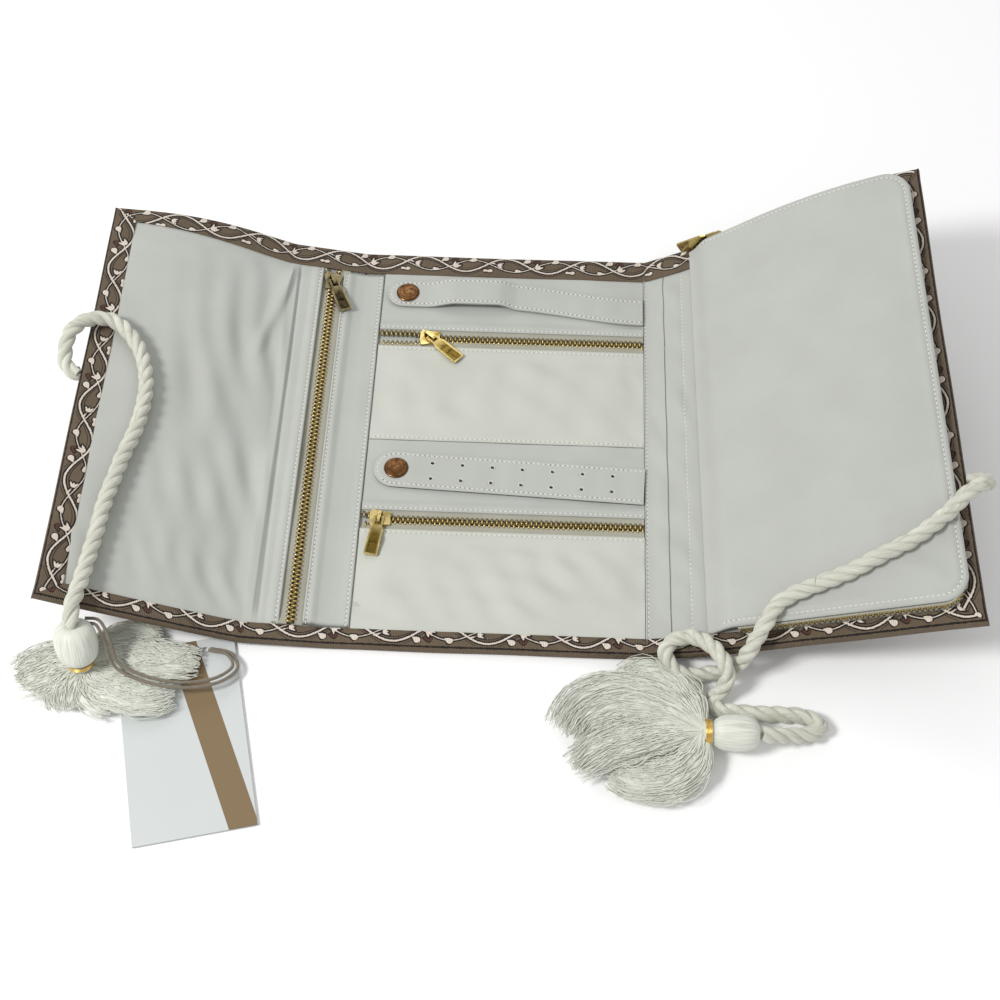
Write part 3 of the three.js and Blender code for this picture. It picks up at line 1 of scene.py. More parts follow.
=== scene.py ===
# %% [markdown]
# # A cloth jewelry organizer, open on a table
# The organizer is a padded cloth cover that opens like a book with three leaves. It has zipped
# pockets, two snap straps, a pouch page with a zip round it, and two cords that end in tassels.
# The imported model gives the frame: bodies, joints and solids. This lesson dresses it in cloth.

# %% Load the frame
import math

import bmesh
import bpy
import numpy as np
from mathutils import Matrix, Vector
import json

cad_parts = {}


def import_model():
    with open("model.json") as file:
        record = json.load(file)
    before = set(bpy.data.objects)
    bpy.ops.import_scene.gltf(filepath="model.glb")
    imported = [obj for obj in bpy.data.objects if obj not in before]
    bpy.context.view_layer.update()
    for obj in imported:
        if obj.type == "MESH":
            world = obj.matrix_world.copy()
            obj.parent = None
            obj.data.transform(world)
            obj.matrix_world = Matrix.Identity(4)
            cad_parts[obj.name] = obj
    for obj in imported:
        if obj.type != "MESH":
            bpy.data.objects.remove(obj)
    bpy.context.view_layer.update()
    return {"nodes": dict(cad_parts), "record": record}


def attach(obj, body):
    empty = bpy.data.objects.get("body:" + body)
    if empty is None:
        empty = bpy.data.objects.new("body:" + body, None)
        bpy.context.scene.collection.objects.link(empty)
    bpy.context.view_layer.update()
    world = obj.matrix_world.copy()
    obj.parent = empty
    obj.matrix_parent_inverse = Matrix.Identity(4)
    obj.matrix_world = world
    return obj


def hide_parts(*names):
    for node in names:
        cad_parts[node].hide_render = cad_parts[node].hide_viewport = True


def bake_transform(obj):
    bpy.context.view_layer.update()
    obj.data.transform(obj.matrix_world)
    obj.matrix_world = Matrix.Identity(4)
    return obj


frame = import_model()
MM = 0.001

# %% [markdown]
# ## Camera
# The photograph looks down at the open organizer from the near side. A long lens from three
# quarters of a metre away keeps the leaves' edges almost parallel, as they are there. The camera
# comes first, because the cords are checked against what it sees.

# %% Camera
CAMERA_PLACE = (0.0220, -0.50617, 0.72656)
CAMERA_VIEW = (-0.02233, 0.54418, -0.83867)
CAMERA_LENS, CAMERA_FRAME = 60.78, 36  # mm


def new_object(name, data):
    """A new object with this data, in the scene."""
    piece = bpy.data.objects.new(name, data)
    bpy.context.scene.collection.objects.link(piece)
    return piece


def aim(piece, place, way):
    """Puts a camera or a lamp at a place and points it along a direction."""
    piece.location = place
    piece.rotation_euler = Vector(way).to_track_quat("-Z", "Y").to_euler()


camera_data = bpy.data.cameras.new("photo_camera")
camera_data.lens = CAMERA_LENS
camera_data.sensor_width = CAMERA_FRAME
camera = new_object("photo_camera", camera_data)
aim(camera, CAMERA_PLACE, CAMERA_VIEW)
bpy.context.scene.camera = camera
print("camera at", CAMERA_PLACE)

# %% [markdown]
# ## Numbers that change over a surface
# A printed border or a weave is a drawing made of sums. Shader nodes can add and multiply, but
# wiring a hundred of them by hand is slow to read. This small class writes one Math node for
# each sum, so that the drawing below reads as ordinary arithmetic.

# %% Arithmetic with shader nodes
class Number:
    """A value in a node tree. Each sum or product with it adds one Math node."""

    def __init__(self, tree, socket):
        self.tree = tree
        self.socket = socket

    def join(self, operation, *others):
        node = self.tree.nodes.new("ShaderNodeMath")
        node.operation = operation
        for place, item in zip(node.inputs, (self, *others)):
            if isinstance(item, Number):
                self.tree.links.new(item.socket, place)
            else:
                place.default_value = item
        return Number(self.tree, node.outputs[0])

    def __add__(self, other):
        return self.join("ADD", other)

    def __sub__(self, other):
        return self.join("SUBTRACT", other)

    def __mul__(self, other):
        return self.join("MULTIPLY", other)

    def __truediv__(self, other):
        return self.join("DIVIDE", other)

    def size(self):
        return self.join("ABSOLUTE")

    def least(self, other):
        return self.join("MINIMUM", other)

    def most(self, other):
        return self.join("MAXIMUM", other)

    def inside(self, softness):
        """1 where the value is below zero and 0 above it, with a soft edge."""
        node = self.join("MULTIPLY_ADD", -1 / softness, 0.5)
        node.socket.node.use_clamp = True
        return node


def new_group(name, numbers, outputs):
    """A shader node group with a vector and some numbers as inputs, and numbers as outputs."""
    tree = bpy.data.node_groups.new(name, "ShaderNodeTree")
    tree.interface.new_socket("Vector", in_out="INPUT", socket_type="NodeSocketVector")
    for key, value in numbers.items():
        socket = tree.interface.new_socket(key, in_out="INPUT", socket_type="NodeSocketFloat")
        socket.default_value = value
    for key in outputs:
        tree.interface.new_socket(key, in_out="OUTPUT", socket_type="NodeSocketFloat")
    return tree, tree.nodes.new("NodeGroupInput"), tree.nodes.new("NodeGroupOutput")


def give(tree, exit_node, **numbers):
    """Links numbers to the group's outputs of the same names."""
    for key, number in numbers.items():
        tree.links.new(number.socket, exit_node.inputs[key])


def parts(tree, vector):
    """The three numbers of a vector."""
    node = tree.nodes.new("ShaderNodeSeparateXYZ")
    tree.links.new(vector, node.inputs[0])
    return [Number(tree, socket) for socket in node.outputs]


def texture_noise(tree, vector, scale, detail=3.0, stretch=(1, 1, 1)):
    """A noise texture's value as a Number, with its own stretch of the coordinates."""
    stretched = tree.nodes.new("ShaderNodeVectorMath")
    stretched.operation = "MULTIPLY"
    tree.links.new(vector, stretched.inputs[0])
    stretched.inputs[1].default_value = stretch
    node = tree.nodes.new("ShaderNodeTexNoise")
    node.inputs["Scale"].default_value = scale
    node.inputs["Detail"].default_value = detail
    tree.links.new(stretched.outputs[0], node.inputs["Vector"])
    return Number(tree, node.outputs[0])


# %% [markdown]
# ## Weave
# Cotton is a plain weave: threads pass over and under each other. Two crossed waves give that
# grid, and noise makes some threads thicker and some places a little darker. The same group
# serves the lining, the ribbed cover, the zip tape and the card, each with its own numbers.

# %% Group: weave
def make_weave_group():
    tree, entry, exit_node = new_group(
        "weave", {"Threads": 1500.0, "Rib": 0.0, "Slub": 0.5}, ("Shade", "Height"))
    place = entry.outputs["Vector"]
    x, y, _ = parts(tree, place)
    threads, rib, slub = [Number(tree, entry.outputs[key]) for key in ("Threads", "Rib", "Slub")]
    plain = (x * threads).join("SINE") * (y * threads).join("SINE")
    ribbed = (x * (threads * 0.5)).join("SINE")
    weave = plain * (rib * -1 + 1) + ribbed * rib
    thick = texture_noise(tree, place, 350, 2, (1, 0.15, 1))
    fuzz = texture_noise(tree, place, 2600, 2)
    cloud = texture_noise(tree, place, 38, 3)
    give(tree, exit_node,
         Height=weave * 0.5 + (thick - 0.5) * slub + (fuzz - 0.5) * 0.5,
         Shade=(cloud - 0.5) * 0.5 + (fuzz - 0.5) * 0.35 + weave * 0.06 + 0.5)
    return tree


WEAVE = make_weave_group()
print("group", WEAVE.name, "with", len(WEAVE.nodes), "nodes")


# %% Helpers for a material's own nodes
def start_material(name):
    material = bpy.data.materials.new(name)
    material.use_nodes = True
    tree = material.node_tree
    shader = tree.nodes["Principled BSDF"]
    return material, tree, shader


def linear(red, green, blue):
    """A colour given in display values from 0 to 255, as the linear numbers that shaders take."""
    shares = [c / 255 for c in (red, green, blue)]
    return [c / 12.92 if c < 0.04045 else ((c + 0.055) / 1.055) ** 2.4 for c in shares] + [1.0]


def blend_colors(tree, mask, low, high):
    """A Mix node between two colours, or between a colour and another node's output."""
    node = tree.nodes.new("ShaderNodeMix")
    node.data_type = "RGBA"
    tree.links.new(mask, node.inputs["Factor"])
    for key, value in (("A", low), ("B", high)):
        socket = [s for s in node.inputs if s.name == key and s.type == "RGBA"][0]
        if isinstance(value, bpy.types.NodeSocket):
            tree.links.new(value, socket)
        else:
            socket.default_value = value
    return [s for s in node.outputs if s.type == "RGBA"][0]


def add_bump(tree, shader, height, distance, strength=0.6):
    node = tree.nodes.new("ShaderNodeBump")
    node.inputs["Distance"].default_value = distance
    node.inputs["Strength"].default_value = strength
    tree.links.new(height, node.inputs["Height"])
    tree.links.new(node.outputs[0], shader.inputs["Normal"])


def dress(tree, shader, color, **numbers):
    """Gives a shader its colour and plain numbers. A low line stands for a space in an input's name."""
    tree.links.new(color, shader.inputs["Base Color"])
    for key, value in numbers.items():
        shader.inputs[key.replace("_", " ")].default_value = value


def use_group(tree, group, vector, **numbers):
    """A node of a group, with its vector and its own numbers."""
    node = tree.nodes.new("ShaderNodeGroup")
    node.node_tree = group
    tree.links.new(vector, node.inputs["Vector"])
    for key, value in numbers.items():
        node.inputs[key].default_value = value
    return node


def object_place(tree):
    """Each point's own place on the object, in metres."""
    return tree.nodes.new("ShaderNodeTexCoord").outputs["Object"]


def print_place(tree):
    """Millimetres along and across the cloth or thread, which its mesh carries."""
    node = tree.nodes.new("ShaderNodeAttribute")
    node.attribute_name = "print"
    return node.outputs["Vector"]


# %% [markdown]
# ## Cotton
# The lining is off-white cotton: almost matt, slightly warm, with soft clouds of shade where it
# was handled. A little sheen lightens it towards its folds, as loose fibres do on real cotton.

# %% Material: lining cotton
def make_cotton(name, dark, light, threads=9000.0, bump=0.00008):
    material, tree, shader = start_material(name)
    weave = use_group(tree, WEAVE, object_place(tree), Threads=threads, Rib=0.0, Slub=0.5)
    color = blend_colors(tree, weave.outputs["Shade"], dark, light)
    dress(tree, shader, color, Roughness=0.9, Sheen_Weight=0.15, Specular_IOR_Level=0.25)
    add_bump(tree, shader, weave.outputs["Height"], bump)
    return material


COTTON = make_cotton("lining_cotton", linear(166, 168, 161), linear(190, 192, 187))
COTTON_WARM = make_cotton("pocket_cotton", linear(180, 182, 172), linear(203, 205, 197))
THREAD = make_cotton("sewing_thread", linear(206, 206, 196), linear(232, 231, 222), 6000.0)
# The needle holes' dark cotton is painted shade: it stands for the shade inside each hole.
HOLE_SHADE = make_cotton("needle_hole_shade", linear(92, 91, 80), linear(124, 122, 110), 6000.0)
TAPE = make_cotton("zip_tape", linear(140, 139, 123), linear(186, 184, 170), 5200.0, bump=0.0004)
WADDING = make_cotton("wadding", linear(225, 222, 210), linear(240, 238, 230), 900.0)
print("made", *(m.name for m in (COTTON, COTTON_WARM, THREAD, HOLE_SHADE, TAPE, WADDING)))

# %% [markdown]
# ## Printed border
# The cover is a ribbed taupe cloth with a printed border: a dark line along the fold, and a
# cream vine with leaves, outlined in dark brown. This vine is drawn for this lesson from scratch,
# in the common scrolling style. The stem is a sine wave, and one wave holds two buds of three
# petals each, some single leaves and a dull red bloom. A thinner stem crosses it, and a dark
# line runs on each side as its shadow. A little noise wobbles every edge, as ink does on a coarse
# weave.

# %% Group: vine border
VINE_WAVE = 46.0  # mm
VINE_MIDDLE = 7.6  # mm from the outer fold
VINE_SWING = 5.1
SECOND_SWING, SECOND_MIDDLE, SECOND_LATE = 4.2, 8.2, 2.5  # the thinner stem, which starts later
INK_NEAR, INK_FAR = -1.3, 15.4  # where the drawing ends on each side


def leaf(u, v, place, turn, length, width):
    """Distance outside a leaf that starts at a place and points along a direction."""
    angle = math.radians(turn)
    du, dv = u - place[0], v - place[1]
    along = du * math.cos(angle) + dv * math.sin(angle)
    across = (dv * math.cos(angle) - du * math.sin(angle)).size()
    share = (along / length).most(0.0).least(1.0)
    half = (share.join("POWER", 0.6) * math.pi).join("SINE") * width
    beyond = ((along * -1).most(along - length)).most(0.0)
    return (across - half) + beyond


# Each leaf: where its broad end is, the way that it points in degrees, its length and half width
VINE_LEAVES = [
    ((-9.4, 5.0), 26, 5.6, 0.5), ((-4.9, 7.4), -26, 4.0, 0.85), ((-4.9, 7.4), 8, 3.2, 0.95),
    ((-4.9, 7.4), 44, 4.2, 0.85), ((4.8, 11.2), 8, 4.6, 1.2), ((-13.0, 11.6), 2, 3.8, 1.0),
    ((13.4, 2.8), 148, 4.9, 1.75), ((16.8, 9.8), -82, 5.2, 1.05), ((16.8, 9.8), -54, 4.2, 1.1),
    ((16.8, 9.8), -24, 4.8, 1.0), ((-16.8, 2.9), 152, 4.8, 1.7), ((-7.6, 11.4), 168, 4.0, 1.2),
]
VINE_BLOOM = ((19.4, 4.2), 172, 5.0, 1.9)


def beside_stem(turn, across, swing, middle):
    """Distance from a stem along a sine wave, and how much the wave's slope stretches it."""
    slope = turn.join("SINE") * (swing * 2 * math.pi / VINE_WAVE)
    lean = (slope * slope + 1).join("SQRT")
    return across + turn.join("COSINE") * swing - middle, lean


def make_vine_group():
    tree, entry, exit_node = new_group("vine_border", {}, ("Cream", "Dark", "Bloom"))
    wobble = texture_noise(tree, entry.outputs["Vector"], 0.9, 2) - 0.5
    along, across, _ = parts(tree, entry.outputs["Vector"])
    u = (along + VINE_WAVE / 2).join("FLOORED_MODULO", VINE_WAVE) - VINE_WAVE / 2
    turn = u * (2 * math.pi / VINE_WAVE)
    beside, lean = beside_stem(turn, across, VINE_SWING, VINE_MIDDLE)
    drawing = beside.size() / lean - 0.6
    for row in VINE_LEAVES:
        drawing = drawing.least(leaf(u, across, *row))
    drawing = drawing + wobble * 0.7
    bloom = leaf(u, across, *VINE_BLOOM)
    second, second_lean = beside_stem(turn + SECOND_LATE, across, SECOND_SWING, SECOND_MIDDLE)
    drawing = drawing.least(second.size() / second_lean + wobble * 0.5 - 0.36)
    shadow_line = ((beside - 2.3).size() / lean - 0.22).least((beside + 2.6).size() / lean - 0.16)
    edge = (across * -1 - INK_NEAR).most(across - INK_FAR)
    outline = (drawing - 0.75).least(bloom.size() - 0.35).least(shadow_line).most(edge).inside(0.2)
    rail = ((across + wobble - 0.1).size() - 0.5).inside(0.25)
    give(tree, exit_node, Cream=(drawing + 0.1).most(edge).inside(0.18), Dark=outline.most(rail),
         Bloom=bloom.most(edge).inside(0.3))
    return tree


VINE = make_vine_group()
print("group", VINE.name, "with", len(VINE.nodes), "nodes")


# %% Material: cover cloth
def make_cover():
    material, tree, shader = start_material("cover_cloth")
    place = print_place(tree)
    vine = use_group(tree, VINE, place)
    in_metres = tree.nodes.new("ShaderNodeVectorMath")
    in_metres.operation = "SCALE"
    in_metres.inputs["Scale"].default_value = MM
    tree.links.new(place, in_metres.inputs[0])
    weave = use_group(tree, WEAVE, in_metres.outputs[0], Threads=15000.0, Rib=0.8, Slub=0.8)
    color = blend_colors(tree, weave.outputs["Shade"], linear(64, 53, 40), linear(126, 109, 88))
    for ink, shade in (("Bloom", (84, 50, 40)), ("Dark", (16, 9, 6)), ("Cream", (220, 208, 194))):
        color = blend_colors(tree, vine.outputs[ink], color, linear(*shade))
    dress(tree, shader, color, Roughness=0.85)
    raised = Number(tree, vine.outputs["Cream"]) * 0.8 + Number(tree, weave.outputs["Height"])
    add_bump(tree, shader, raised.socket, 0.00035, 0.8)
    return material


COVER_CLOTH = make_cover()
print("made", COVER_CLOTH.name)

# %% [markdown]
# ## Metal
# The zips, sliders and pulls are brass, one of them darkened to an antique finish, and the snap
# caps are copper. All show the same wear: rubbed, brighter edges and a darker film in patches.
# A node group makes the film from noise and the edges from how sharply the surface bends.

# %% Group: worn metal
def make_wear_group():
    tree, entry, exit_node = new_group("metal_wear", {}, ("Film", "Edge", "Height"))
    bend = Number(tree, tree.nodes.new("ShaderNodeNewGeometry").outputs["Pointiness"])
    coarse = texture_noise(tree, entry.outputs["Vector"], 420, 4)
    fine = texture_noise(tree, entry.outputs["Vector"], 2400, 3)
    give(tree, exit_node, Height=fine,
         Film=((coarse - 0.42) * 2.6 + (fine - 0.5) * 0.8).most(0.0).least(1.0),
         Edge=((bend - 0.52) * 14.0).most(0.0).least(1.0))
    return tree


WEAR = make_wear_group()


def make_metal(name, body, film, edge, roughness):
    material, tree, shader = start_material(name)
    wear = use_group(tree, WEAR, object_place(tree))
    color = blend_colors(tree, wear.outputs["Film"], body, film)
    color = blend_colors(tree, wear.outputs["Edge"], color, edge)
    dress(tree, shader, color, Metallic=1.0)
    rough = Number(tree, wear.outputs["Film"]) * 0.25 + roughness
    tree.links.new(rough.socket, shader.inputs["Roughness"])
    add_bump(tree, shader, wear.outputs["Height"], 0.00003, 0.4)
    return material


BRASS = make_metal("brass", linear(140, 118, 54), linear(62, 50, 22), linear(222, 200, 136), 0.2)
TEETH = make_metal("brass_teeth", linear(96, 82, 44), linear(30, 25, 13), linear(190, 170, 116), 0.26)
ANTIQUE = make_metal("antique_brass", linear(66, 58, 40), linear(34, 30, 20), linear(140, 128, 96), 0.3)
COPPER = make_metal("copper_snap", linear(116, 82, 52), linear(74, 48, 30), linear(186, 146, 108), 0.26)
GOLD = make_metal("gold_thread", linear(196, 152, 60), linear(120, 84, 26), linear(240, 206, 120), 0.3)
print("group", WEAR.name, "serves", BRASS.name, TEETH.name, ANTIQUE.name, COPPER.name, GOLD.name)

# %% [markdown]
# ## Fibres
# Rope, tassel threads and elastic are bundles of fibres that run along the piece. Their meshes
# carry a vector that counts millimetres along and around, so noise that is stretched along it
# looks like fibres, wherever the rope turns.

# %% Group: fibres
def make_fibre_group():
    tree, entry, exit_node = new_group("fibres", {"Lines": 3.0, "Twist": 0.0}, ("Shade", "Height"))
    along, around, strand = parts(tree, entry.outputs["Vector"])
    lines, twist = [Number(tree, entry.outputs[key]) for key in ("Lines", "Twist")]
    joined = tree.nodes.new("ShaderNodeCombineXYZ")
    stretched = (along * 0.08, (around + along * twist) * lines, strand)
    for number, place in zip(stretched, joined.inputs):
        tree.links.new(number.socket, place)
    strands = texture_noise(tree, joined.outputs[0], 1.0, 3)
    cloud = texture_noise(tree, joined.outputs[0], 0.25, 2)
    give(tree, exit_node, Height=strands, Shade=(strands - 0.5) * 0.9 + (cloud - 0.5) * 0.5 + 0.55)
    return tree


FIBRES = make_fibre_group()


def make_fibre(name, dark, light, lines, twist, bump, roughness=0.75):
    material, tree, shader = start_material(name)
    fibres = use_group(tree, FIBRES, print_place(tree), Lines=lines, Twist=twist)
    color = blend_colors(tree, fibres.outputs["Shade"], dark, light)
    dress(tree, shader, color, Roughness=roughness, Sheen_Weight=0.3)
    add_bump(tree, shader, fibres.outputs["Height"], bump)
    return material


ROPE = make_fibre("rope_cotton", linear(150, 150, 132), linear(226, 226, 214), 1.5, 0.3, 0.0005)
SILK = make_fibre("tassel_thread", linear(166, 168, 152), linear(240, 242, 232), 1.7, 0.0, 0.0002, 0.5)
ELASTIC = make_fibre("elastic", linear(84, 76, 64), linear(136, 126, 110), 2.0, 1.2, 0.0003)
print("group", FIBRES.name, "serves", ROPE.name, SILK.name, ELASTIC.name)


# %% [markdown]
# ## Card
# The hang tag is two white cards on an elastic loop, with a slanting taupe band across the front
# card's lower right. It is bare of words here. The band is drawn by distance from a line in the
# card's own place on the table.

# %% Material: tag card
TAG_CORNER = (-155.9, -229.4)  # near left corner, mm
TAG_TURN = math.radians(13.5)
BAND_START, BAND_WIDE, BAND_LEAN = 44.0, 13.8, 0.19  # mm, mm and mm across for each mm up


def make_card(name, banded):
    material, tree, shader = start_material(name)
    place = object_place(tree)
    weave = use_group(tree, WEAVE, place, Threads=3000.0, Rib=0.0, Slub=0.2)
    color = blend_colors(tree, weave.outputs["Shade"], linear(192, 197, 195), linear(201, 205, 204))
    if banded:
        x, y = [number * 1000 - corner for number, corner in zip(parts(tree, place), TAG_CORNER)]
        across = x * math.cos(TAG_TURN) + y * math.sin(TAG_TURN)
        up = y * math.cos(TAG_TURN) - x * math.sin(TAG_TURN)
        slant = across + up * BAND_LEAN - BAND_START
        band = (slant * -1).most(slant - BAND_WIDE).inside(0.25)
        color = blend_colors(tree, band.socket, color, linear(122, 102, 72))
    dress(tree, shader, color, Roughness=0.55)
    add_bump(tree, shader, weave.outputs["Height"], 0.00002, 0.3)
    return material


CARD = make_card("tag_card", True)
CARD_BACK = make_card("tag_backing_card", False)
print("made", CARD.name, "and", CARD_BACK.name)

# %% [markdown]
# ## One surface for all the cloth
# Every leaf of the organizer is one long piece of cloth. A place on it is three numbers: q, the
# distance along the cloth from the middle of the centre panel, t, the depth, and h, the height
# above its underside. The near and far edges each follow their own slopes, and the cloth between
# them is straight, which gives the leaves their twist.

# %% The cloth's slopes and its surface
HALF = 125.0
CREASE, LEFT_EDGE = -120.5, -220.5
WING_FOLD, RIGHT_EDGE = 102.0, 238.0
NEAR_SLOPES = [
    (-240, -23), (-220.5, -23), (-150.5, -22), (-120.5, -18), (-120.4, -4), (-78.5, -4), (-78.4, 0),
    (78.4, 0), (78.5, 13), (101.9, 13), (102, 14), (149.6, 18), (238, 18.5), (250, 18.5),
]
FAR_SLOPES = [
    (-240, -4), (-220.5, -4), (-195.5, -6), (-170.5, -14), (-140.5, -24), (-120.5, -24), (-120.4, -10),
    (-78.5, -10), (-78.4, 0), (78.4, 0), (78.5, 28), (101.9, 28), (102, 34), (145.5, 38),
    (183.6, 31), (238, 18), (250, 18),
]
STEP = 0.25
STATIONS = np.arange(-240, 250, STEP)
SOFT = 14  # stations on each side over which a change of slope is spread


def edge_line(slopes):
    """x, z and angle of the cloth's underside along one edge, at every station."""
    places, degrees = zip(*slopes)
    angle = np.radians(np.interp(STATIONS, places, degrees))
    window = np.hanning(2 * SOFT + 1)
    padded = np.pad(angle, SOFT, mode="edge")
    angle = np.convolve(padded, window / window.sum(), mode="valid")
    x = np.cumsum(np.cos(angle)) * STEP
    z = np.cumsum(np.sin(angle)) * STEP
    start = np.argmin(np.abs(STATIONS))
    return x - x[start], z - z[start], angle


NEAR_LINE = edge_line(NEAR_SLOPES)
FAR_LINE = edge_line(FAR_SLOPES)


def surface(q, t, h):
    """Points in mm for arrays of q, t and h."""
    q, t, h = np.broadcast_arrays(np.asarray(q, float), np.asarray(t, float), np.asarray(h, float))
    share = t / (2 * HALF) + 0.5
    near = [np.interp(q, STATIONS, line) for line in NEAR_LINE]
    far = [np.interp(q, STATIONS, line) for line in FAR_LINE]
    x, z, angle = [a + (b - a) * share for a, b in zip(near, far)]
    return np.stack([x - h * np.sin(angle), t, z + h * np.cos(angle)], axis=-1)


# %% Helpers for places and distances
WAVES = 5  # in one set of folds


def smooth(x, start, end):
    """0 up to the start, 1 from the end on, and an S between them."""
    share = np.clip((x - start) / (end - start), 0, 1)
    return share * share * (3 - 2 * share)


def bell(x, middle, width):
    """A soft bump, 1 high."""
    return np.exp(-(((x - middle) / width) ** 2))


def together(*numbers):
    """Vectors from their numbers, each of which may be an array or a plain number."""
    return np.stack(np.broadcast_arrays(*numbers), axis=-1)


def travel(path):
    """Distance from a path's start to each of its points."""
    return np.concatenate([[0], np.cumsum(np.linalg.norm(np.diff(path, axis=0), axis=1))])


def at_places(places, reach, path):
    """Points of a path at some distances, where reach is the distance to each of its own points."""
    return np.stack([np.interp(places, reach, column) for column in np.transpose(path)], axis=-1)


def lines(start, end, step, fine=()):
    """Places from start to end, with extra ones at small distances from both ends."""
    count = max(int(round(abs(end - start) / step)), 1)
    places = list(np.linspace(start, end, count + 1))
    way = math.copysign(1, end - start)
    places += [start + way * f for f in fine] + [end - way * f for f in fine]
    return np.array(sorted(set(np.round(places, 4)), reverse=bool(end < start)))


def ripples(u, v, seed, wavelength, direction, spread):
    """Soft folds: five waves of nearly one direction, which bend and fade."""
    dice = np.random.default_rng(seed)
    total = 0.0
    for _ in range(WAVES):
        angle = math.radians(direction + dice.uniform(-spread, spread))
        length = wavelength * dice.uniform(0.75, 1.6)
        ahead = u * math.cos(angle) + v * math.sin(angle)
        beside = v * math.cos(angle) - u * math.sin(angle)
        bend = 0.9 * np.sin(beside / length * 1.3 + dice.uniform(0, 6.3))
        fade = 0.6 + 0.4 * np.sin(beside / length * 0.9 + dice.uniform(0, 6.3))
        total = total + fade * np.sin(2 * np.pi * ahead / length + bend + dice.uniform(0, 6.3))
    return total / WAVES ** 0.5


print("cloth from x %.1f to %.1f mm" % (surface(LEFT_EDGE, 0, 0)[0], surface(RIGHT_EDGE, 0, 0)[0]))

# %% [markdown]
# ## Sewing box
# A real sewn piece is cloth plus the thread that holds it. The class below collects grids of
# cloth and rows of stitches and makes one mesh of them, so that the thread bends with its cloth.

# %% Pieces made of grids and stitches
STITCH = 2.5  # mm from one stitch to the next
STITCH_LONG, STITCH_RADIUS, STITCH_SINK = 1.7, 0.33, 0.02
STITCH_CORNERS = 6
STITCH_SHAPE = [(-1, 0.25), (-0.75, 0.8), (0, 1), (0.75, 0.8), (1, 0.25)]  # along and radius, as shares
# Each needle hole is a small dark disc of painted shade just above the cloth, with a short cone under it.
NEEDLE_LONG, NEEDLE_WIDE, NEEDLE_DEEP, NEEDLE_PROUD = 0.34, 0.36, 0.25, 0.05
LINING_TOP = 3.9


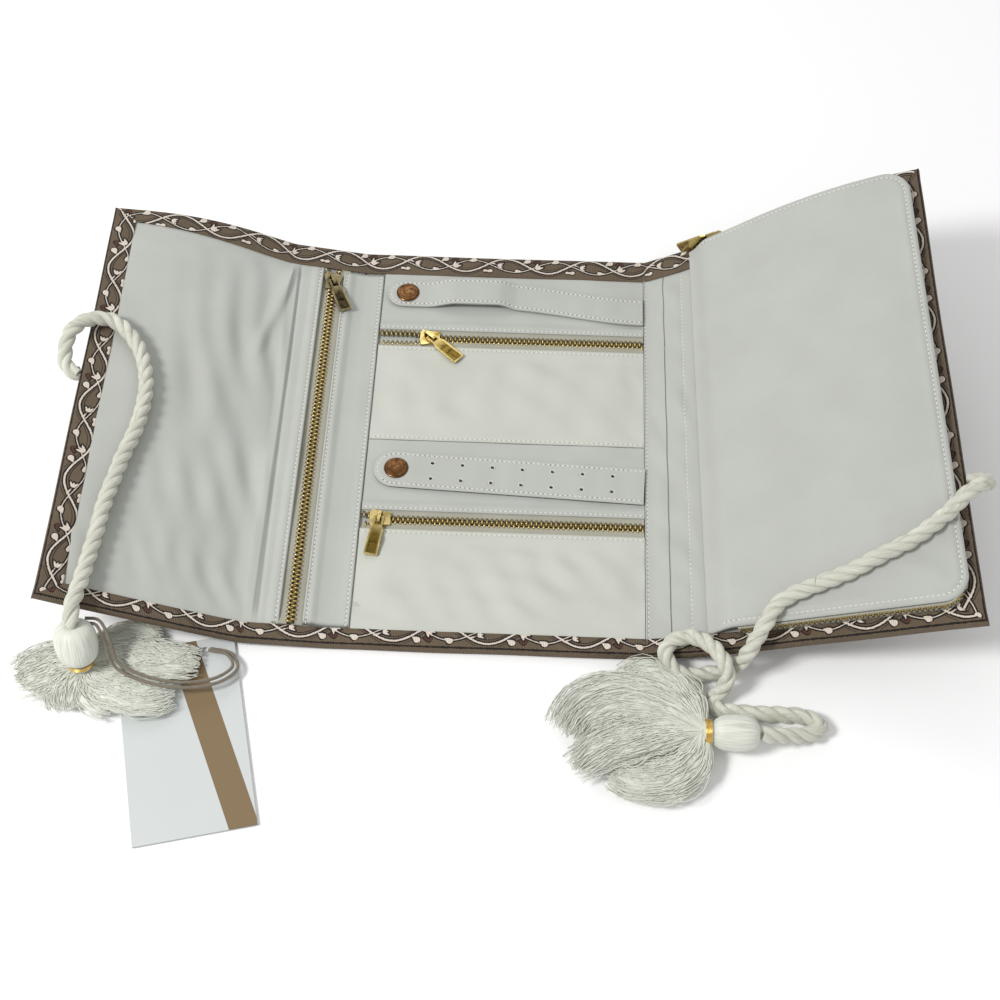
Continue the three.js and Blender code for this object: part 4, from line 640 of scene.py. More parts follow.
class Sewn:
    """Collects parts of a piece. Each part has its own material, by number."""

    def __init__(self):
        self.points = []
        self.faces = []
        self.slots = []
        self.prints = []
        self.count = 0

    def add(self, points, faces, slot=0, prints=None):
        points = np.asarray(points, float).reshape(-1, 3)
        prints = np.zeros((len(points), 3)) if prints is None else np.asarray(prints).reshape(-1, 3)
        self.points.append(points)
        self.prints.append(prints)
        self.faces += [tuple(int(k) + self.count for k in face) for face in faces]
        self.slots += [slot] * len(faces)
        self.count += len(points)

    def grid(self, points, slot=0, prints=None, closed=False, flip=False):
        """Faces between rows of points. A closed grid joins its last column to the first."""
        rows, columns = points.shape[:2]
        faces = []
        for i in range(rows - 1):
            for j in range(columns if closed else columns - 1):
                k = (j + 1) % columns
                face = (i * columns + j, (i + 1) * columns + j, (i + 1) * columns + k, i * columns + k)
                faces.append(face[::-1] if flip else face)
        self.add(points, faces, slot, prints)

    def cap(self, rows, columns, slot=0):
        """Two faces that close the ends of the closed grid that was added last."""
        first, last = self.count - rows * columns, self.count - columns
        self.faces.append(tuple(first + k for k in range(columns)))
        self.faces.append(tuple(last + k for k in range(columns))[::-1])
        self.slots += [slot, slot]

    def slab(self, low, high, slot=0):
        """Closed cloth between two grids of points."""
        rows, columns = low.shape[:2]
        around = [(i, 0) for i in range(rows)] + [(rows - 1, j) for j in range(1, columns)]
        around += [(i, columns - 1) for i in range(rows - 2, -1, -1)]
        around += [(0, j) for j in range(columns - 2, 0, -1)]
        size = rows * columns
        faces = []
        for i in range(rows - 1):
            for j in range(columns - 1):
                a, b = i * columns + j, (i + 1) * columns + j
                faces.append((a + size, b + size, b + 1 + size, a + 1 + size))
                faces.append((a, a + 1, b + 1, b))
        for (i, j), (m, n) in zip(around, around[1:] + around[:1]):
            a, b = i * columns + j, m * columns + n
            faces.append((b, a, a + size, b + size))
        self.add(np.concatenate([low.reshape(-1, 3), high.reshape(-1, 3)]), faces, slot)

    def stitches(self, path, up):
        """Small threads along a path, and after each a small dark disc of painted shade where the needle went
        through. up is the surface's direction.
        """
        path = np.asarray(path, float)
        reach = travel(path)
        count = int(reach[-1] // STITCH)
        middles = (np.arange(count) + 0.5) * reach[-1] / count
        at = at_places(middles, reach, path)
        way = at_places(middles + 0.4, reach, path) - at_places(middles - 0.4, reach, path)
        way /= np.linalg.norm(way, axis=1)[:, None]
        side = np.cross(way, np.broadcast_to(np.asarray(up, float), way.shape))
        side /= np.linalg.norm(side, axis=1)[:, None]
        rise = np.cross(side, way)
        sides = 2 * math.pi * np.arange(STITCH_CORNERS) / STITCH_CORNERS
        hole_sides = 2 * math.pi * np.arange(8) / 8
        for place, w, s, r in zip(at, way, side, rise):
            ring = np.array([[
                place + w * along * STITCH_LONG / 2 + r * (STITCH_RADIUS * (wide - 1) * 0.6 - STITCH_SINK)
                + (s * math.cos(turn) + r * math.sin(turn)) * wide * STITCH_RADIUS
                for turn in sides] for along, wide in STITCH_SHAPE])
            self.grid(ring, 1, closed=True)
            self.cap(len(STITCH_SHAPE), STITCH_CORNERS, 1)
            # The needle hole: a dark disc of painted shade, and the cone under it.
            hole = [place + w * (STITCH / 2 + NEEDLE_LONG * math.cos(turn)) + s * NEEDLE_WIDE * math.sin(turn)
                    + r * NEEDLE_PROUD for turn in hole_sides]
            bottom = place + w * (STITCH / 2) - r * NEEDLE_DEEP
            walls = [(c, (c + 1) % 8, 8) for c in range(8)]
            self.add(hole + [bottom], [tuple(range(8))[::-1]] + walls, 2)

    def make(self, name, materials, weld=None):
        """The piece as an object. weld joins points nearer than it, in mm, and turns all faces out."""
        mesh = bpy.data.meshes.new(name)
        mesh.from_pydata((np.concatenate(self.points) * MM).tolist(), [], self.faces)
        for material in materials:
            mesh.materials.append(material)
        mesh.polygons.foreach_set("material_index", self.slots)
        attribute = mesh.attributes.new("print", "FLOAT_VECTOR", "POINT")
        attribute.data.foreach_set("vector", np.concatenate(self.prints).astype(np.float32).ravel())
        if weld is not None:
            body = bmesh.new()
            body.from_mesh(mesh)
            if weld:
                bmesh.ops.remove_doubles(body, verts=body.verts, dist=weld * MM)
            bmesh.ops.recalc_face_normals(body, faces=body.faces)
            body.to_mesh(mesh)
            body.free()
        mesh.polygons.foreach_set("use_smooth", [True] * len(mesh.polygons))
        mesh.update()
        ends = {key for polygon in mesh.polygons if polygon.loop_total > 4 for key in polygon.edge_keys}
        for edge in mesh.edges:
            edge.use_edge_sharp = edge.key in ends
        return new_object(name, mesh)


# %% How a piece takes the place of its solids
def finish_piece(piece, nodes):
    """The piece stands for these solids, which are hidden."""
    if nodes:
        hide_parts(*nodes)
    print(piece.name, "has", len(piece.data.vertices), "points")


def settle(piece, body, slot, *nodes):
    """For a piece that rides on one body."""
    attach(piece, body)
    finish_piece(piece, nodes)


def bend(piece, first, second, start, end, slot, *nodes):
    """For cloth over the fold between two bodies, from one place along q to another. It stays where it is
    made and follows neither body; its solids are hidden.
    """
    surface(start, 0, 0) * MM
    surface(end, 0, 0) * MM
    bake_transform(piece)
    finish_piece(piece, nodes)


# %% [markdown]
# ## Cords
# The cords are three-strand cotton rope, 8 mm thick. Each strand is a tube that winds round the
# cord's middle line. The points of that line are the ones that the solids follow, and the curve
# through them is the same kind of spline, so each cord lies where its solid is.

# %% A smooth line through points, and even steps along it
PER_SPAN = 24  # points of the curve from one place to the next


def spline(places):
    """Points of a centripetal Catmull-Rom curve through the places."""
    p = np.asarray(places, float)
    p = np.concatenate([[2 * p[0] - p[1]], p, [2 * p[-1] - p[-2]]])
    shares = np.linspace(0, 1, PER_SPAN + 1)[:-1, None]
    out = []
    for i in range(1, len(p) - 2):
        a, b, c, d = p[i - 1: i + 3]
        k0, k1, k2 = [max(np.linalg.norm(m - n), 1e-4) ** 0.5 for m, n in ((a, b), (b, c), (c, d))]
        first = ((b - a) / k0 - (c - a) / (k0 + k1) + (c - b) / k1) * k1
        second = ((c - b) / k1 - (d - b) / (k1 + k2) + (d - c) / k2) * k1
        cubic = 2 * b - 2 * c + first + second
        square = -3 * b + 3 * c - 2 * first - second
        out.append(b + first * shares + square * shares ** 2 + cubic * shares ** 3)
    out.append(p[-2:-1])
    return np.concatenate(out)


def even(path, step):
    """Evenly spaced points along a path, and their distance from its start."""
    reach = travel(path)
    places = np.linspace(0, reach[-1], max(int(reach[-1] / step), 3) + 1)
    return at_places(places, reach, path), places


def frames(path):
    """Two directions across a path at each point, turned as little as possible."""
    way = np.gradient(path, axis=0)
    way /= np.linalg.norm(way, axis=1)[:, None]
    side = np.cross(way[0], [0, 0, 1.0])
    if np.linalg.norm(side) < 0.1:
        side = np.cross(way[0], [0, 1.0, 0])
    sides = []
    for w in way:
        side = side - w * np.dot(side, w)
        side = side / np.linalg.norm(side)
        sides.append(side)
    sides = np.array(sides)
    return way, sides, np.cross(way, sides)


def tube(sewn, path, radius, corners, slot=0, reach=None, strand=0.0, caps=True):
    """A round tube along a path, with millimetres along and around in its print vector."""
    _, side, up = frames(path)
    turns = 2 * np.pi * np.arange(corners) / corners
    radius = np.broadcast_to(np.asarray(radius, float), (len(path),))
    ring = side[:, None] * np.cos(turns)[None, :, None] + up[:, None] * np.sin(turns)[None, :, None]
    reach = travel(path) if reach is None else reach
    around = np.sin(turns / 2 + 0.3) * 3 * radius.mean()
    sewn.grid(path[:, None] + ring * radius[:, None, None], slot,
              together(reach[:, None], around[None, :], strand), closed=True, flip=True)
    if caps:
        sewn.cap(len(path), corners, slot)


# %% Rope
CORD, TAG_CORD = 8.0, 2.0
LAY = 23.0  # length of one full turn of a strand
STRAND = 2.08
STRAND_OUT = 1.92


def rope(name, path, start=0.0, end=1.0):
    """Three strands round part of a path. Returns the piece and the middle line, in metres."""
    whole, _ = even(path, 1.2)
    reach = travel(whole)
    _, sides, ups = frames(whole)
    first, last = [int(np.searchsorted(reach, share * reach[-1] - 0.01)) for share in (start, end)]
    keep = slice(first, last + 1)
    line, reach, sides, ups = whole[keep], reach[keep], sides[keep], ups[keep]
    sewn = Sewn()
    for strand in range(3):
        phase = 2 * np.pi * (reach / LAY + strand / 3)
        swell = 1 + 0.05 * np.sin(reach / 5.3 + strand * 2.1) + 0.03 * np.sin(reach / 2.1 + strand)
        off = (sides * np.cos(phase)[:, None] + ups * np.sin(phase)[:, None]) * STRAND_OUT
        tube(sewn, line + off, STRAND * swell, 12, 0, reach, strand * 7.0)
    return sewn.make(name, [ROPE]), line * MM


# %% [markdown]
# ## The pouch page's form
# The page is a padded cloth, sewn down beside the spine and zipped round its other three sides.
# It rises from its seam, stays level above the zip's teeth, and is slightly crowned. The numbers
# are those of the solid, because the cord lies on the page.

# %% Heights of the page
PAGE_INNER, PAGE_END, PAGE_NEAR, PAGE_FAR, PAGE_CORNER = 6.0, 130.5, -115.6, 120.0, 13.0
PAGE_SEAM, PAGE_BASE, PAGE_LEDGE = 5.3, 10.2, 4.7


def page_inset(d, t):
    """Distance in from the page's three free edges, with its outer corners rounded."""
    end = PAGE_END - d
    side = np.minimum(t - PAGE_NEAR, PAGE_FAR - t)
    a, b = PAGE_CORNER - end, PAGE_CORNER - side
    corner = PAGE_CORNER - np.hypot(a, b)
    return np.where((a > 0) & (b > 0), corner, np.minimum(end, side))


def page_heights(d, t):
    d, t = np.asarray(d, float), np.asarray(t, float)
    rise = smooth(d, PAGE_INNER, PAGE_INNER + 14)
    inset = page_inset(d, t)
    sag = 2.6 * smooth(inset, PAGE_LEDGE, 2 * PAGE_LEDGE)
    low = PAGE_SEAM + (PAGE_BASE - sag - PAGE_SEAM) * rise
    rim = np.clip(inset / 8, 0, 1)
    curve = np.sqrt(1 - (1 - rim) ** 2)
    across = 1 - (2 * (t - PAGE_NEAR) / (PAGE_FAR - PAGE_NEAR) - 1) ** 4
    along = 1 - (2 * (d - PAGE_INNER) / (PAGE_END - PAGE_INNER) - 1) ** 4
    full = PAGE_BASE + 2.0 * (0.5 + 0.5 * curve) + 1.9 * across * along
    return low, PAGE_SEAM + 1.2 + (full - PAGE_SEAM - 1.2) * rise


# %% Left cord
LEFT_ON_PANEL = [
    (100.6, 9, 2.5), (104, 9.3, 2.6), (108, 13.5, 4), (109, 21.5, 8.5), (107.3, 29, 11.4), (102, 36, 12),
    (96, 40.2, 10.6), (89, 41.3, 9.5), (81.4, 37, 9.3), (72, 24.9, 9.1), (66, 4, 9), (66.3, -18, 9),
    (71.5, -43.7, 9), (75.5, -68, 9), (77.3, -91, 9), (79.5, -111, 9.5), (81, -120.5, 9.6),
]
LEFT_HANGING = [(-193, -129.4, 41), (-193.3, -133.2, 37.4), (-193.5, -133.9, 35.3)]
left_places = [surface(CREASE - d, t, h) for d, t, h in LEFT_ON_PANEL] + [np.array(p) for p in LEFT_HANGING]
left_path = spline(left_places)
left_rope, left_line = rope("left_rope", left_path)
settle(left_rope, "left_panel", "rope", "left_cord")

# %% Right cord
RIGHT_EDGE_ROUTE = [
    (136.4, -53, 2.5), (140, -53.2, 2.6), (144, -56, 5), (145, -59.5, 10), (142, -63.5, 15.4),
    (135, -68.5, 18),
]
RIGHT_ON_PAGE = [
    (127, -74.5), (119.5, -80.1), (108.4, -86.6), (93.1, -92.5), (78.2, -98.4), (63.4, -102.4),
    (49, -106.4), (41.6, -110.5),
]
RIGHT_OFF_PAGE = [(130.8, -118.5, 30.4), (126.8, -124.5, 26.4)]
RIGHT_UNDER = [
    (124.6, -127.6, 22.2), (122.3, -129.6, 17.6), (119.8, -130.9, 12.2), (116, -131.3, 7.6),
    (109.5, -132.2, 5), (101, -133.4, 4.4),
]
RIGHT_LOOP = [
    (97.2, -133.8, 4.4), (91, -133, 6.4), (86.6, -129, 9.6), (85.6, -124.2, 11.6), (89, -120, 12.6),
    (96, -118.4, 14.2), (103, -121, 16.2), (108.8, -127, 18.4), (112.8, -134, 18), (114.4, -139.2, 12.6),
    (111.6, -143, 7), (108, -146.6, 4.4), (110, -150.8, 4.3), (117.4, -152, 4.3), (128.6, -152.6, 4.3),
    (140.4, -152.6, 4.3), (152, -153.6, 4.3), (158.2, -157.8, 4.5), (155.4, -162, 5.2), (146, -164.4, 7),
    (136.5, -166.2, 10.4), (129.6, -166.5, 11.6),
]
PAGE_SPLIT, UNDER_SPLIT = 11, 22  # places of the route where the rope's next piece starts


def on_page_height(d, t):
    return page_heights(d, t)[1] + 0.3 + CORD / 2


right_places = [surface(WING_FOLD + d, t, h) for d, t, h in RIGHT_EDGE_ROUTE]
right_places += [surface(WING_FOLD + d, t, on_page_height(d, t)) for d, t in RIGHT_ON_PAGE]
right_places += [np.array(p, float) for p in RIGHT_OFF_PAGE + RIGHT_UNDER + RIGHT_LOOP]
right_path = spline(right_places)
right_reach = travel(right_path)
splits = [0, *(right_reach[PER_SPAN * k] / right_reach[-1] for k in (PAGE_SPLIT, UNDER_SPLIT)), 1]
rope_over_page, over_line = rope("right_rope_over_page", right_path, *splits[:2])
rope_under, under_line = rope("right_rope_under_edge", right_path, *splits[1:3])
rope_loop, loop_line = rope("right_rope_loop", right_path, *splits[2:])
surface(WING_FOLD + 124, 0, 12) * MM
surface(WING_FOLD + 137, 0, 12) * MM
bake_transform(rope_over_page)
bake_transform(rope_under)
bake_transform(rope_loop)
for piece, nodes in ((rope_over_page, ["right_cord_edge", "right_cord_page"]),
                     (rope_under, ["right_cord_page", "right_cord_under"]),
                     (rope_loop, ["right_cord_tail"])):
    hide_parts(*nodes)


def length_of(line):
    return float(travel(line)[-1])


print("ropes", [round(length_of(line), 3) for line in (left_line, over_line, under_line, loop_line)])

# %% [markdown]
# ## Elastic loop
# The tag hangs on a doubled elastic cord, knotted through its hole and looped over the tassel. It
# is thin, so two plain tubes side by side, with a slanting rib in their material, are enough.

# %% Tag loop
TAG_LOOP = [
    (-189.5, -128.6, 28), (-183, -130, 29), (-178.4, -137, 22), (-175.5, -143, 14), (-168, -147, 11),
    (-146, -151, 9), (-127.5, -147, 7.4), (-120, -138.5, 5.2), (-124.5, -130.6, 3.4), (-134, -128.2, 2.7),
]
loop_path, loop_reach = even(spline(TAG_LOOP), 1.0)
sewn = Sewn()
_, loop_side, loop_up = frames(loop_path)
for side in (-1, 1):
    beside = loop_side * 1.25 * side + loop_up * 0.2 * side
    tube(sewn, loop_path + beside, 0.8, 10, 0, loop_reach, side * 3.0)
tag_elastic = sewn.make("tag_elastic", [ELASTIC])
settle(tag_elastic, "left_panel", "elastic", "tag_loop")


# %% [markdown]
# ## Tassels
# A tassel is a hank of silky threads, folded over a core. The head is the folded end, a barrel
# with fine threads running down it, and a gold thread ties it at the neck. The skirt's threads
# spread from the neck in locks. A closed body inside each lock fills the gaps between its threads.

# %% Tassel head and neck band
HEAD_SHARES = [
    (0.55, 0.0), (0.72, 0.05), (0.87, 0.14), (0.95, 0.25), (1, 0.5), (0.97, 0.64), (0.93, 0.75), (0.83, 0.86),
    (0.7, 0.93), (0.56, 0.975), (0.42, 1.0), (0.2, 0.99), (0.02, 0.985),
]
HEAD_LONG = 21.5
NECK, NECK_RADIUS = 4.6, 5.0
GOLD_OUT, GOLD_RADIUS, GOLD_STEP = 5.75, 0.34, 0.6


def towards(axis):
    """The rotation that turns the z direction to an axis."""
    return np.array(Vector((0, 0, 1)).rotation_difference(Vector(axis)).to_matrix())


def turned(profile, place, axis, sides, wave=0.0, grooves=0):
    """A turned form along an axis. wave is the depth of fine grooves down its sides, as a share."""
    turns = 2 * np.pi * np.arange(sides) / sides
    fine = []
    for (r0, z0), (r1, z1) in zip(profile, profile[1:]):
        for share in (0, 0.5):
            fine.append((r0 + (r1 - r0) * share, z0 + (z1 - z0) * share))
    fine.append(profile[-1])
    r, z = np.array(fine, float).T[..., None]
    radius = r * (1 + wave * np.abs(np.sin(turns * grooves / 2 + z * 0.04)))
    points = together(radius * np.cos(turns), radius * np.sin(turns), z)
    prints = together(z, np.abs(turns - np.pi) * 9, 1.0)
    sewn = Sewn()
    sewn.grid(points @ towards(axis).T + np.asarray(place, float), 0, prints, closed=True, flip=True)
    return sewn


def tassel_top(name, body, place, axis, radius, wraps):
    """A tassel's head, and the gold thread that is wound round its neck some times."""
    barrel = [(r * radius, NECK + z * HEAD_LONG) for r, z in HEAD_SHARES]
    neck = [(0.5, 0), (NECK_RADIUS, 0.0), (NECK_RADIUS, NECK)]
    head = turned(neck + barrel, place, axis, 168, -0.022, 56).make(name + "_head_threads", [SILK])
    settle(head, body, "tassel_thread", name + "_head")
    turns = np.linspace(0, 2 * np.pi * wraps, 52 * wraps)
    rise = NECK / 2 + (turns / (2 * np.pi) - wraps / 2) * GOLD_STEP
    coil = together(GOLD_OUT * np.cos(turns), GOLD_OUT * np.sin(turns), rise)
    band = Sewn()
    tube(band, coil @ towards(axis).T + np.asarray(place, float), GOLD_RADIUS, 6)
    ring = band.make(name + "_gold_band", [GOLD])
    settle(ring, body, "gold_thread", name + "_band")
    return head, ring


RIGHT_TASSEL, RIGHT_AXIS = (102.3, -166.5, 11.6), (1, 0, 0)
LEFT_TASSEL, LEFT_AXIS = (-192, -143.6, 9.4), (-0.05, 0.35, 0.93)
right_head, right_band = tassel_top("right_tassel", "centre", RIGHT_TASSEL, RIGHT_AXIS, 8.7, 5)
left_head, left_band = tassel_top("left_tassel", "left_panel", LEFT_TASSEL, LEFT_AXIS, 10.4, 3)

# %% Locks of thread
# Threads of a loose skirt cling together in a few curved locks. Each lock has a middle line, and
# its section is a flat oval that opens from the neck and thins again to ragged ends.
LOCK_HALF = [(0, 0.2), (0.1, 0.42), (0.25, 0.8), (0.5, 1.0), (0.8, 0.98), (1, 0.8)]
LOCK_HIGH = [(0, 0.4), (0.15, 0.75), (0.45, 1.0), (0.8, 0.8), (1, 0.4)]
LOCK_SIDES = 28
THREAD_POINTS, THREAD_START, THREAD_END = 20, 0.33, 0.17  # radii in mm


def lock(sewn, dice, places, wide, high, low, count):
    """One lock over its middle line. wide and high are half sizes, and low is the table under it."""
    line, reach = even(spline(places), 1.5)
    share = reach / reach[-1]
    way = np.gradient(line, axis=0)
    side = together(-way[:, 1], way[:, 0], 0.0)
    side /= np.linalg.norm(side, axis=1)[:, None]
    half = np.interp(share, *zip(*LOCK_HALF)) * wide
    rise = np.interp(share, *zip(*LOCK_HIGH)) * high
    turns = 2 * np.pi * np.arange(LOCK_SIDES) / LOCK_SIDES
    close = np.sqrt(np.clip(1 - np.clip((share - 0.76) / 0.2, 0, 1) ** 2, 0.003, 1))[:, None]
    bumps = 1 + 0.07 * np.cos(7 * turns + dice.uniform(0, 6))[None, :] * share[:, None]
    out = half[:, None] * close * np.cos(turns) * 0.93
    body = line[:, None, :] + side[:, None, :] * out[..., None]
    body[..., 2] += rise[:, None] * close * np.sin(turns) * 0.86 * bumps
    body[..., 2] = np.maximum(body[..., 2], low)
    prints = together(reach[:, None], (np.cos(turns) * wide)[None], float(count))
    sewn.grid(body, 0, prints, closed=True)
    for k in range(count):
        across = float(np.clip(dice.normal(0, 0.55), -1.03, 1.03))
        up = dice.uniform(0.35, 1.0) if k % 6 else dice.uniform(-1, 0.2)
        oval = up * math.sqrt(max(1 - (across * 0.95) ** 2, 0.03))
        at = np.linspace(0, min(dice.normal(0.93, 0.05), 1.0), THREAD_POINTS)
        here, out = at_places(at, share, line), at_places(at, share, side)
        slow, fast = dice.uniform(0.15, 0.3), dice.uniform(0.5, 0.9)
        phase = dice.uniform(0, 6.3, 3)
        sway = (dice.normal(0, 1.1) * np.sin(at * reach[-1] * slow + phase[0])
                + dice.normal(0, 0.35) * np.sin(at * reach[-1] * fast + phase[1])) * smooth(at, 0.02, 0.4)
        lift = 0.5 * np.sin(at * reach[-1] * fast * 0.8 + phase[2]) * smooth(at, 0.02, 0.3)
        here += out * (np.interp(at, share, half) * across + sway)[:, None]
        here[:, 2] += np.interp(at, share, rise) * oval + 0.25 + lift
        here[:, 2] = np.maximum(here[:, 2], low + 0.25)
        radius = np.linspace(THREAD_START, THREAD_END, THREAD_POINTS)
        tube(sewn, here, radius, 4, 0, strand=float(k), caps=False)


def skirt(name, seed, neck, low, locks):
    """Locks from the neck. Each has its heights, half sizes and number of threads, then its places."""
    dice = np.random.default_rng(seed)
    sewn = Sewn()
    for heights, wide, high, count, *middle in locks:
        places = [neck] + [(x, y, z) for (x, y), z in zip(middle, heights)]
        lock(sewn, dice, places, wide, high, low, count)
    return sewn.make(name, [SILK])


# %% Right skirt: four locks that fan out to the left
right_skirt = skirt("right_tassel_threads", 11, RIGHT_TASSEL, 0.3, [
    ((8.5, 7, 6, 5.2, 4.8), 9.5, 5.0, 150,
     (97.5, -153), (89.5, -142.4), (79, -137), (71, -136), (64, -140)),
    ((9, 7, 5.6, 5, 4.6), 11.5, 5.2, 180,
     (99.5, -176), (93, -184.5), (82.6, -188.2), (71.6, -188.4), (60, -183)),
    ((10, 8.6, 7.6, 6.6, 5.6), 15.0, 6.6, 300,
     (88, -157.5), (73, -152), (57, -152), (45, -158.6), (39, -168)),
    ((9.4, 8.4, 7.2, 6, 5), 10.0, 6.0, 210,
     (87.5, -167.5), (71, -170.4), (58, -175), (48, -180.6), (42, -185)),
])
settle(right_skirt, "centre", "tassel_thread", "right_tassel_skirt")

# %% Left skirt: eight locks round the standing head, on the tag
left_neck = (LEFT_TASSEL[0], LEFT_TASSEL[1], LEFT_TASSEL[2] - 1.6)
left_skirt = skirt("left_tassel_threads", 5, left_neck, 1.9, [
    ((6.4, 5.4, 4.6), 7.0, 3.2, 110, (-184, -130), (-172, -122.5), (-157, -124)),
    ((6.8, 5.6, 4.9), 11.5, 3.4, 130, (-195, -152), (-196, -158), (-195, -164)),
    ((6.6, 5.4, 4.6), 10.0, 3.2, 110, (-200, -149), (-207, -153), (-211, -157)),
    ((6.6, 5.4, 4.7), 10.0, 3.3, 120, (-187, -152), (-181, -157), (-173, -161)),
    ((6.4, 5.6, 4.8), 11.0, 3.4, 130, (-184, -143), (-170, -144), (-150, -145)),
    ((6.6, 5.8, 4.8), 12.0, 3.6, 170, (-204, -141.3), (-214, -145), (-224, -150)),
    ((6.8, 6.2, 5.2, 4.6), 9.5, 3.8, 170, (-183, -135), (-167, -134.9), (-150, -137), (-137, -137.5)),
    ((6.8, 6.4, 5.4, 4.8), 10.5, 3.8, 190, (-187, -150), (-175, -153.5), (-161, -155.5), (-147, -152)),
])
settle(left_skirt, "left_panel", "tassel_thread", "left_tassel_skirt")

tag_nodes = [frame["nodes"]["tag_card"], frame["nodes"]["tag_backing_card"]]
for piece, line, diameter, far_end, riders in (
    (left_rope, left_line, CORD * MM, "fitting", [left_head, left_band, left_skirt]),
    (rope_over_page, over_line, CORD * MM, "object", []),
    (rope_under, under_line, CORD * MM, "object", []),
    (rope_loop, loop_line, CORD * MM, "fitting", [right_head, right_band, right_skirt]),
    (tag_elastic, loop_path * MM, TAG_CORD * MM, "fitting", tag_nodes),
):
    print(piece.name, "is a cord", round(length_of(line), 3), "m long")

# %% [markdown]
# ## Cover
# The cover cloth is folded over the padding on all sides, which makes the printed border. Its
# section is a roll at the outer edge and a flat band on the inside. The section is drawn once
# and swept along each edge, with mitred corners, and a plain sheet closes the underside.

# %% Border section
ROLL = [(1.8, 0.02), (0.9, 0.08), (0.35, 0.4), (0.08, 1.1), (0.0, 2.2), (0.05, 3.1), (0.3, 4.0), (0.8, 4.62),
        (1.6, 4.92)]
CREST = 4  # row of the roll that is farthest out
BAND_NEAR, BAND_FAR, BAND_SIDE = 10.0, 15.0, 13.0


def border_section(width):
    """Inset from the outer fold, height, and distance along the cloth from the fold, row by row."""
    band = [(width * share, 5.0) for share in (0.28, 0.4, 0.52, 0.64, 0.76, 0.88)]
    hem = [(width - 0.5, 4.98), (width - 0.12, 4.82), (width, 4.55), (width - 0.1, 4.25), (width - 1.5, 4.2)]
    rows = np.array(ROLL + band + hem)
    reach = travel(rows)
    return rows[:, 0], rows[:, 1], reach - reach[CREST]


def waviness(along, seed):
    """How far the outer fold wanders inwards: 0 to about 0.7 mm."""
    dice = np.random.default_rng(seed)
    waves = sum(np.sin(along / dice.uniform(7, 26) + dice.uniform(0, 6.3)) for _ in range(4)) / 4
    return 0.35 * (1 + waves)


def narrowed(q, inset):
    """How much narrower the far border is: it loses a third of its width up to the left corner."""
    return 5.5 * smooth(-q, 128, 219) * np.clip(inset / BAND_FAR, 0, 1)


# %% Pieces of the cover
NEAR_SHIFT, FAR_SHIFT, SIDE_SHIFT = -3.0, -0.6, -2.6  # how far the print lies towards the outer fold
SIDE_ALONG = 11  # where the print of the side borders starts
UNDER_IN, UNDER_LEVEL = 1.8, 0.02


def add_band(sewn, q, t, height, seed, direction, prints):
    """A border, slightly puffed on its flat side."""
    puff = 0.16 * ripples(q, t, seed, 16, direction, 60) * smooth(height, 4.5, 5.0)
    sewn.grid(surface(q, t, height + puff), 0, prints)


def cover_piece(name, start, end, outer=0):
    """Cover cloth between two places along q. outer is -1 or 1 where it ends in an outer edge."""
    sewn = Sewn()
    inset_side, height_side, across_side = border_section(BAND_SIDE)
    end_inset = inset_side * abs(outer)
    stations = lines(start, end, 2.5, (0.5, 1.2) if outer else ())
    share = (stations - start) / (end - start)
    insets = {}
    for side, width, shift in ((-1, BAND_NEAR, NEAR_SHIFT), (1, BAND_FAR, FAR_SHIFT)):
        inset, height, across = border_section(width)
        insets[side] = inset
        q = start + share[:, None] * (end - outer * end_inset[None, :] - start)
        wander = waviness(q, 3 + side) * np.clip(1 - inset / width, 0, 1)
        less = narrowed(q, inset[None, :]) if side > 0 else 0.0 * q
        t = side * (HALF - inset[None, :] - wander + less)
        add_band(sewn, q, t, height, 21 + side, 20, together(q, across[None, :] + shift - less, 0.0))
    if outer:
        low, high = -HALF + insets[-1], HALF - insets[1] + narrowed(end, insets[1])
        places = lines(0, 1, 0.01, (0.002, 0.005))
        t = low[None, :] + places[:, None] * (high - low)[None, :]
        wander = waviness(t, 9) * np.clip(1 - inset_side / BAND_SIDE, 0, 1)
        wander = wander * smooth(HALF - np.abs(t), 0, 8)
        q = end - outer * (inset_side[None, :] + wander)
        prints = together(t + SIDE_ALONG, across_side[None, :] + SIDE_SHIFT, 0.0)
        add_band(sewn, q, t, height_side, 31, 70, prints)
    q, t = np.meshgrid(lines(start, end - outer * UNDER_IN, 5), lines(-HALF + UNDER_IN, HALF - UNDER_IN, 6),
                       indexing="ij")
    # The underside's print vector is past the drawing's far end, so it stays plain.
    sewn.grid(surface(q, t, UNDER_LEVEL), 0, together(q, 20 + (t + HALF), 0.0))
    return sewn.make(name, [COVER_CLOTH], weld=0)


cover_middle = cover_piece("cover_middle", -60, 66)
settle(cover_middle, "centre", "cover_cloth", "cover_centre")
for name, start, end, outer, first, second, fold_start, fold_end in (
    ("cover_left_fold", -60, -99, 0, "centre", "left_wing", -69, -89),
    ("cover_left_leaf", -99, LEFT_EDGE, -1, "left_wing", "left_panel", -115, -126),
    ("cover_right_fold", 66, 90, 0, "centre", "spine", 74, 85),
    ("cover_right_leaf", 90, RIGHT_EDGE, 1, "spine", "right_wing", 97, 107),
):
    piece = cover_piece(name, start, end, outer)
    bend(piece, first, second, fold_start, fold_end, "cover_cloth", "cover_" + first, "cover_" + second)

# %% [markdown]
# ## Lining
# The lining is several pieces of cotton, each turned under at its edges and sewn down. Thread
# pulls the cloth in along a stitch row, and the cloth between rows stands slightly proud, with
# soft folds. So a panel's height is a sum: the solid's own level, a dip along each row, a low
# swelling and a few long ripples.

# %% Heights of sewn cloth
ZIP_EDGE, TAPE_FULL, TAPE_RAMP, TAPE_CLIMB = 5.6, 9.5, 3.0, 1.4
UPPER_ZIP, LOWER_ZIP, LONG_ZIP = 65.0, -52.0, -96.5
STITCH_IN = 1.7  # from an edge to its stitch row


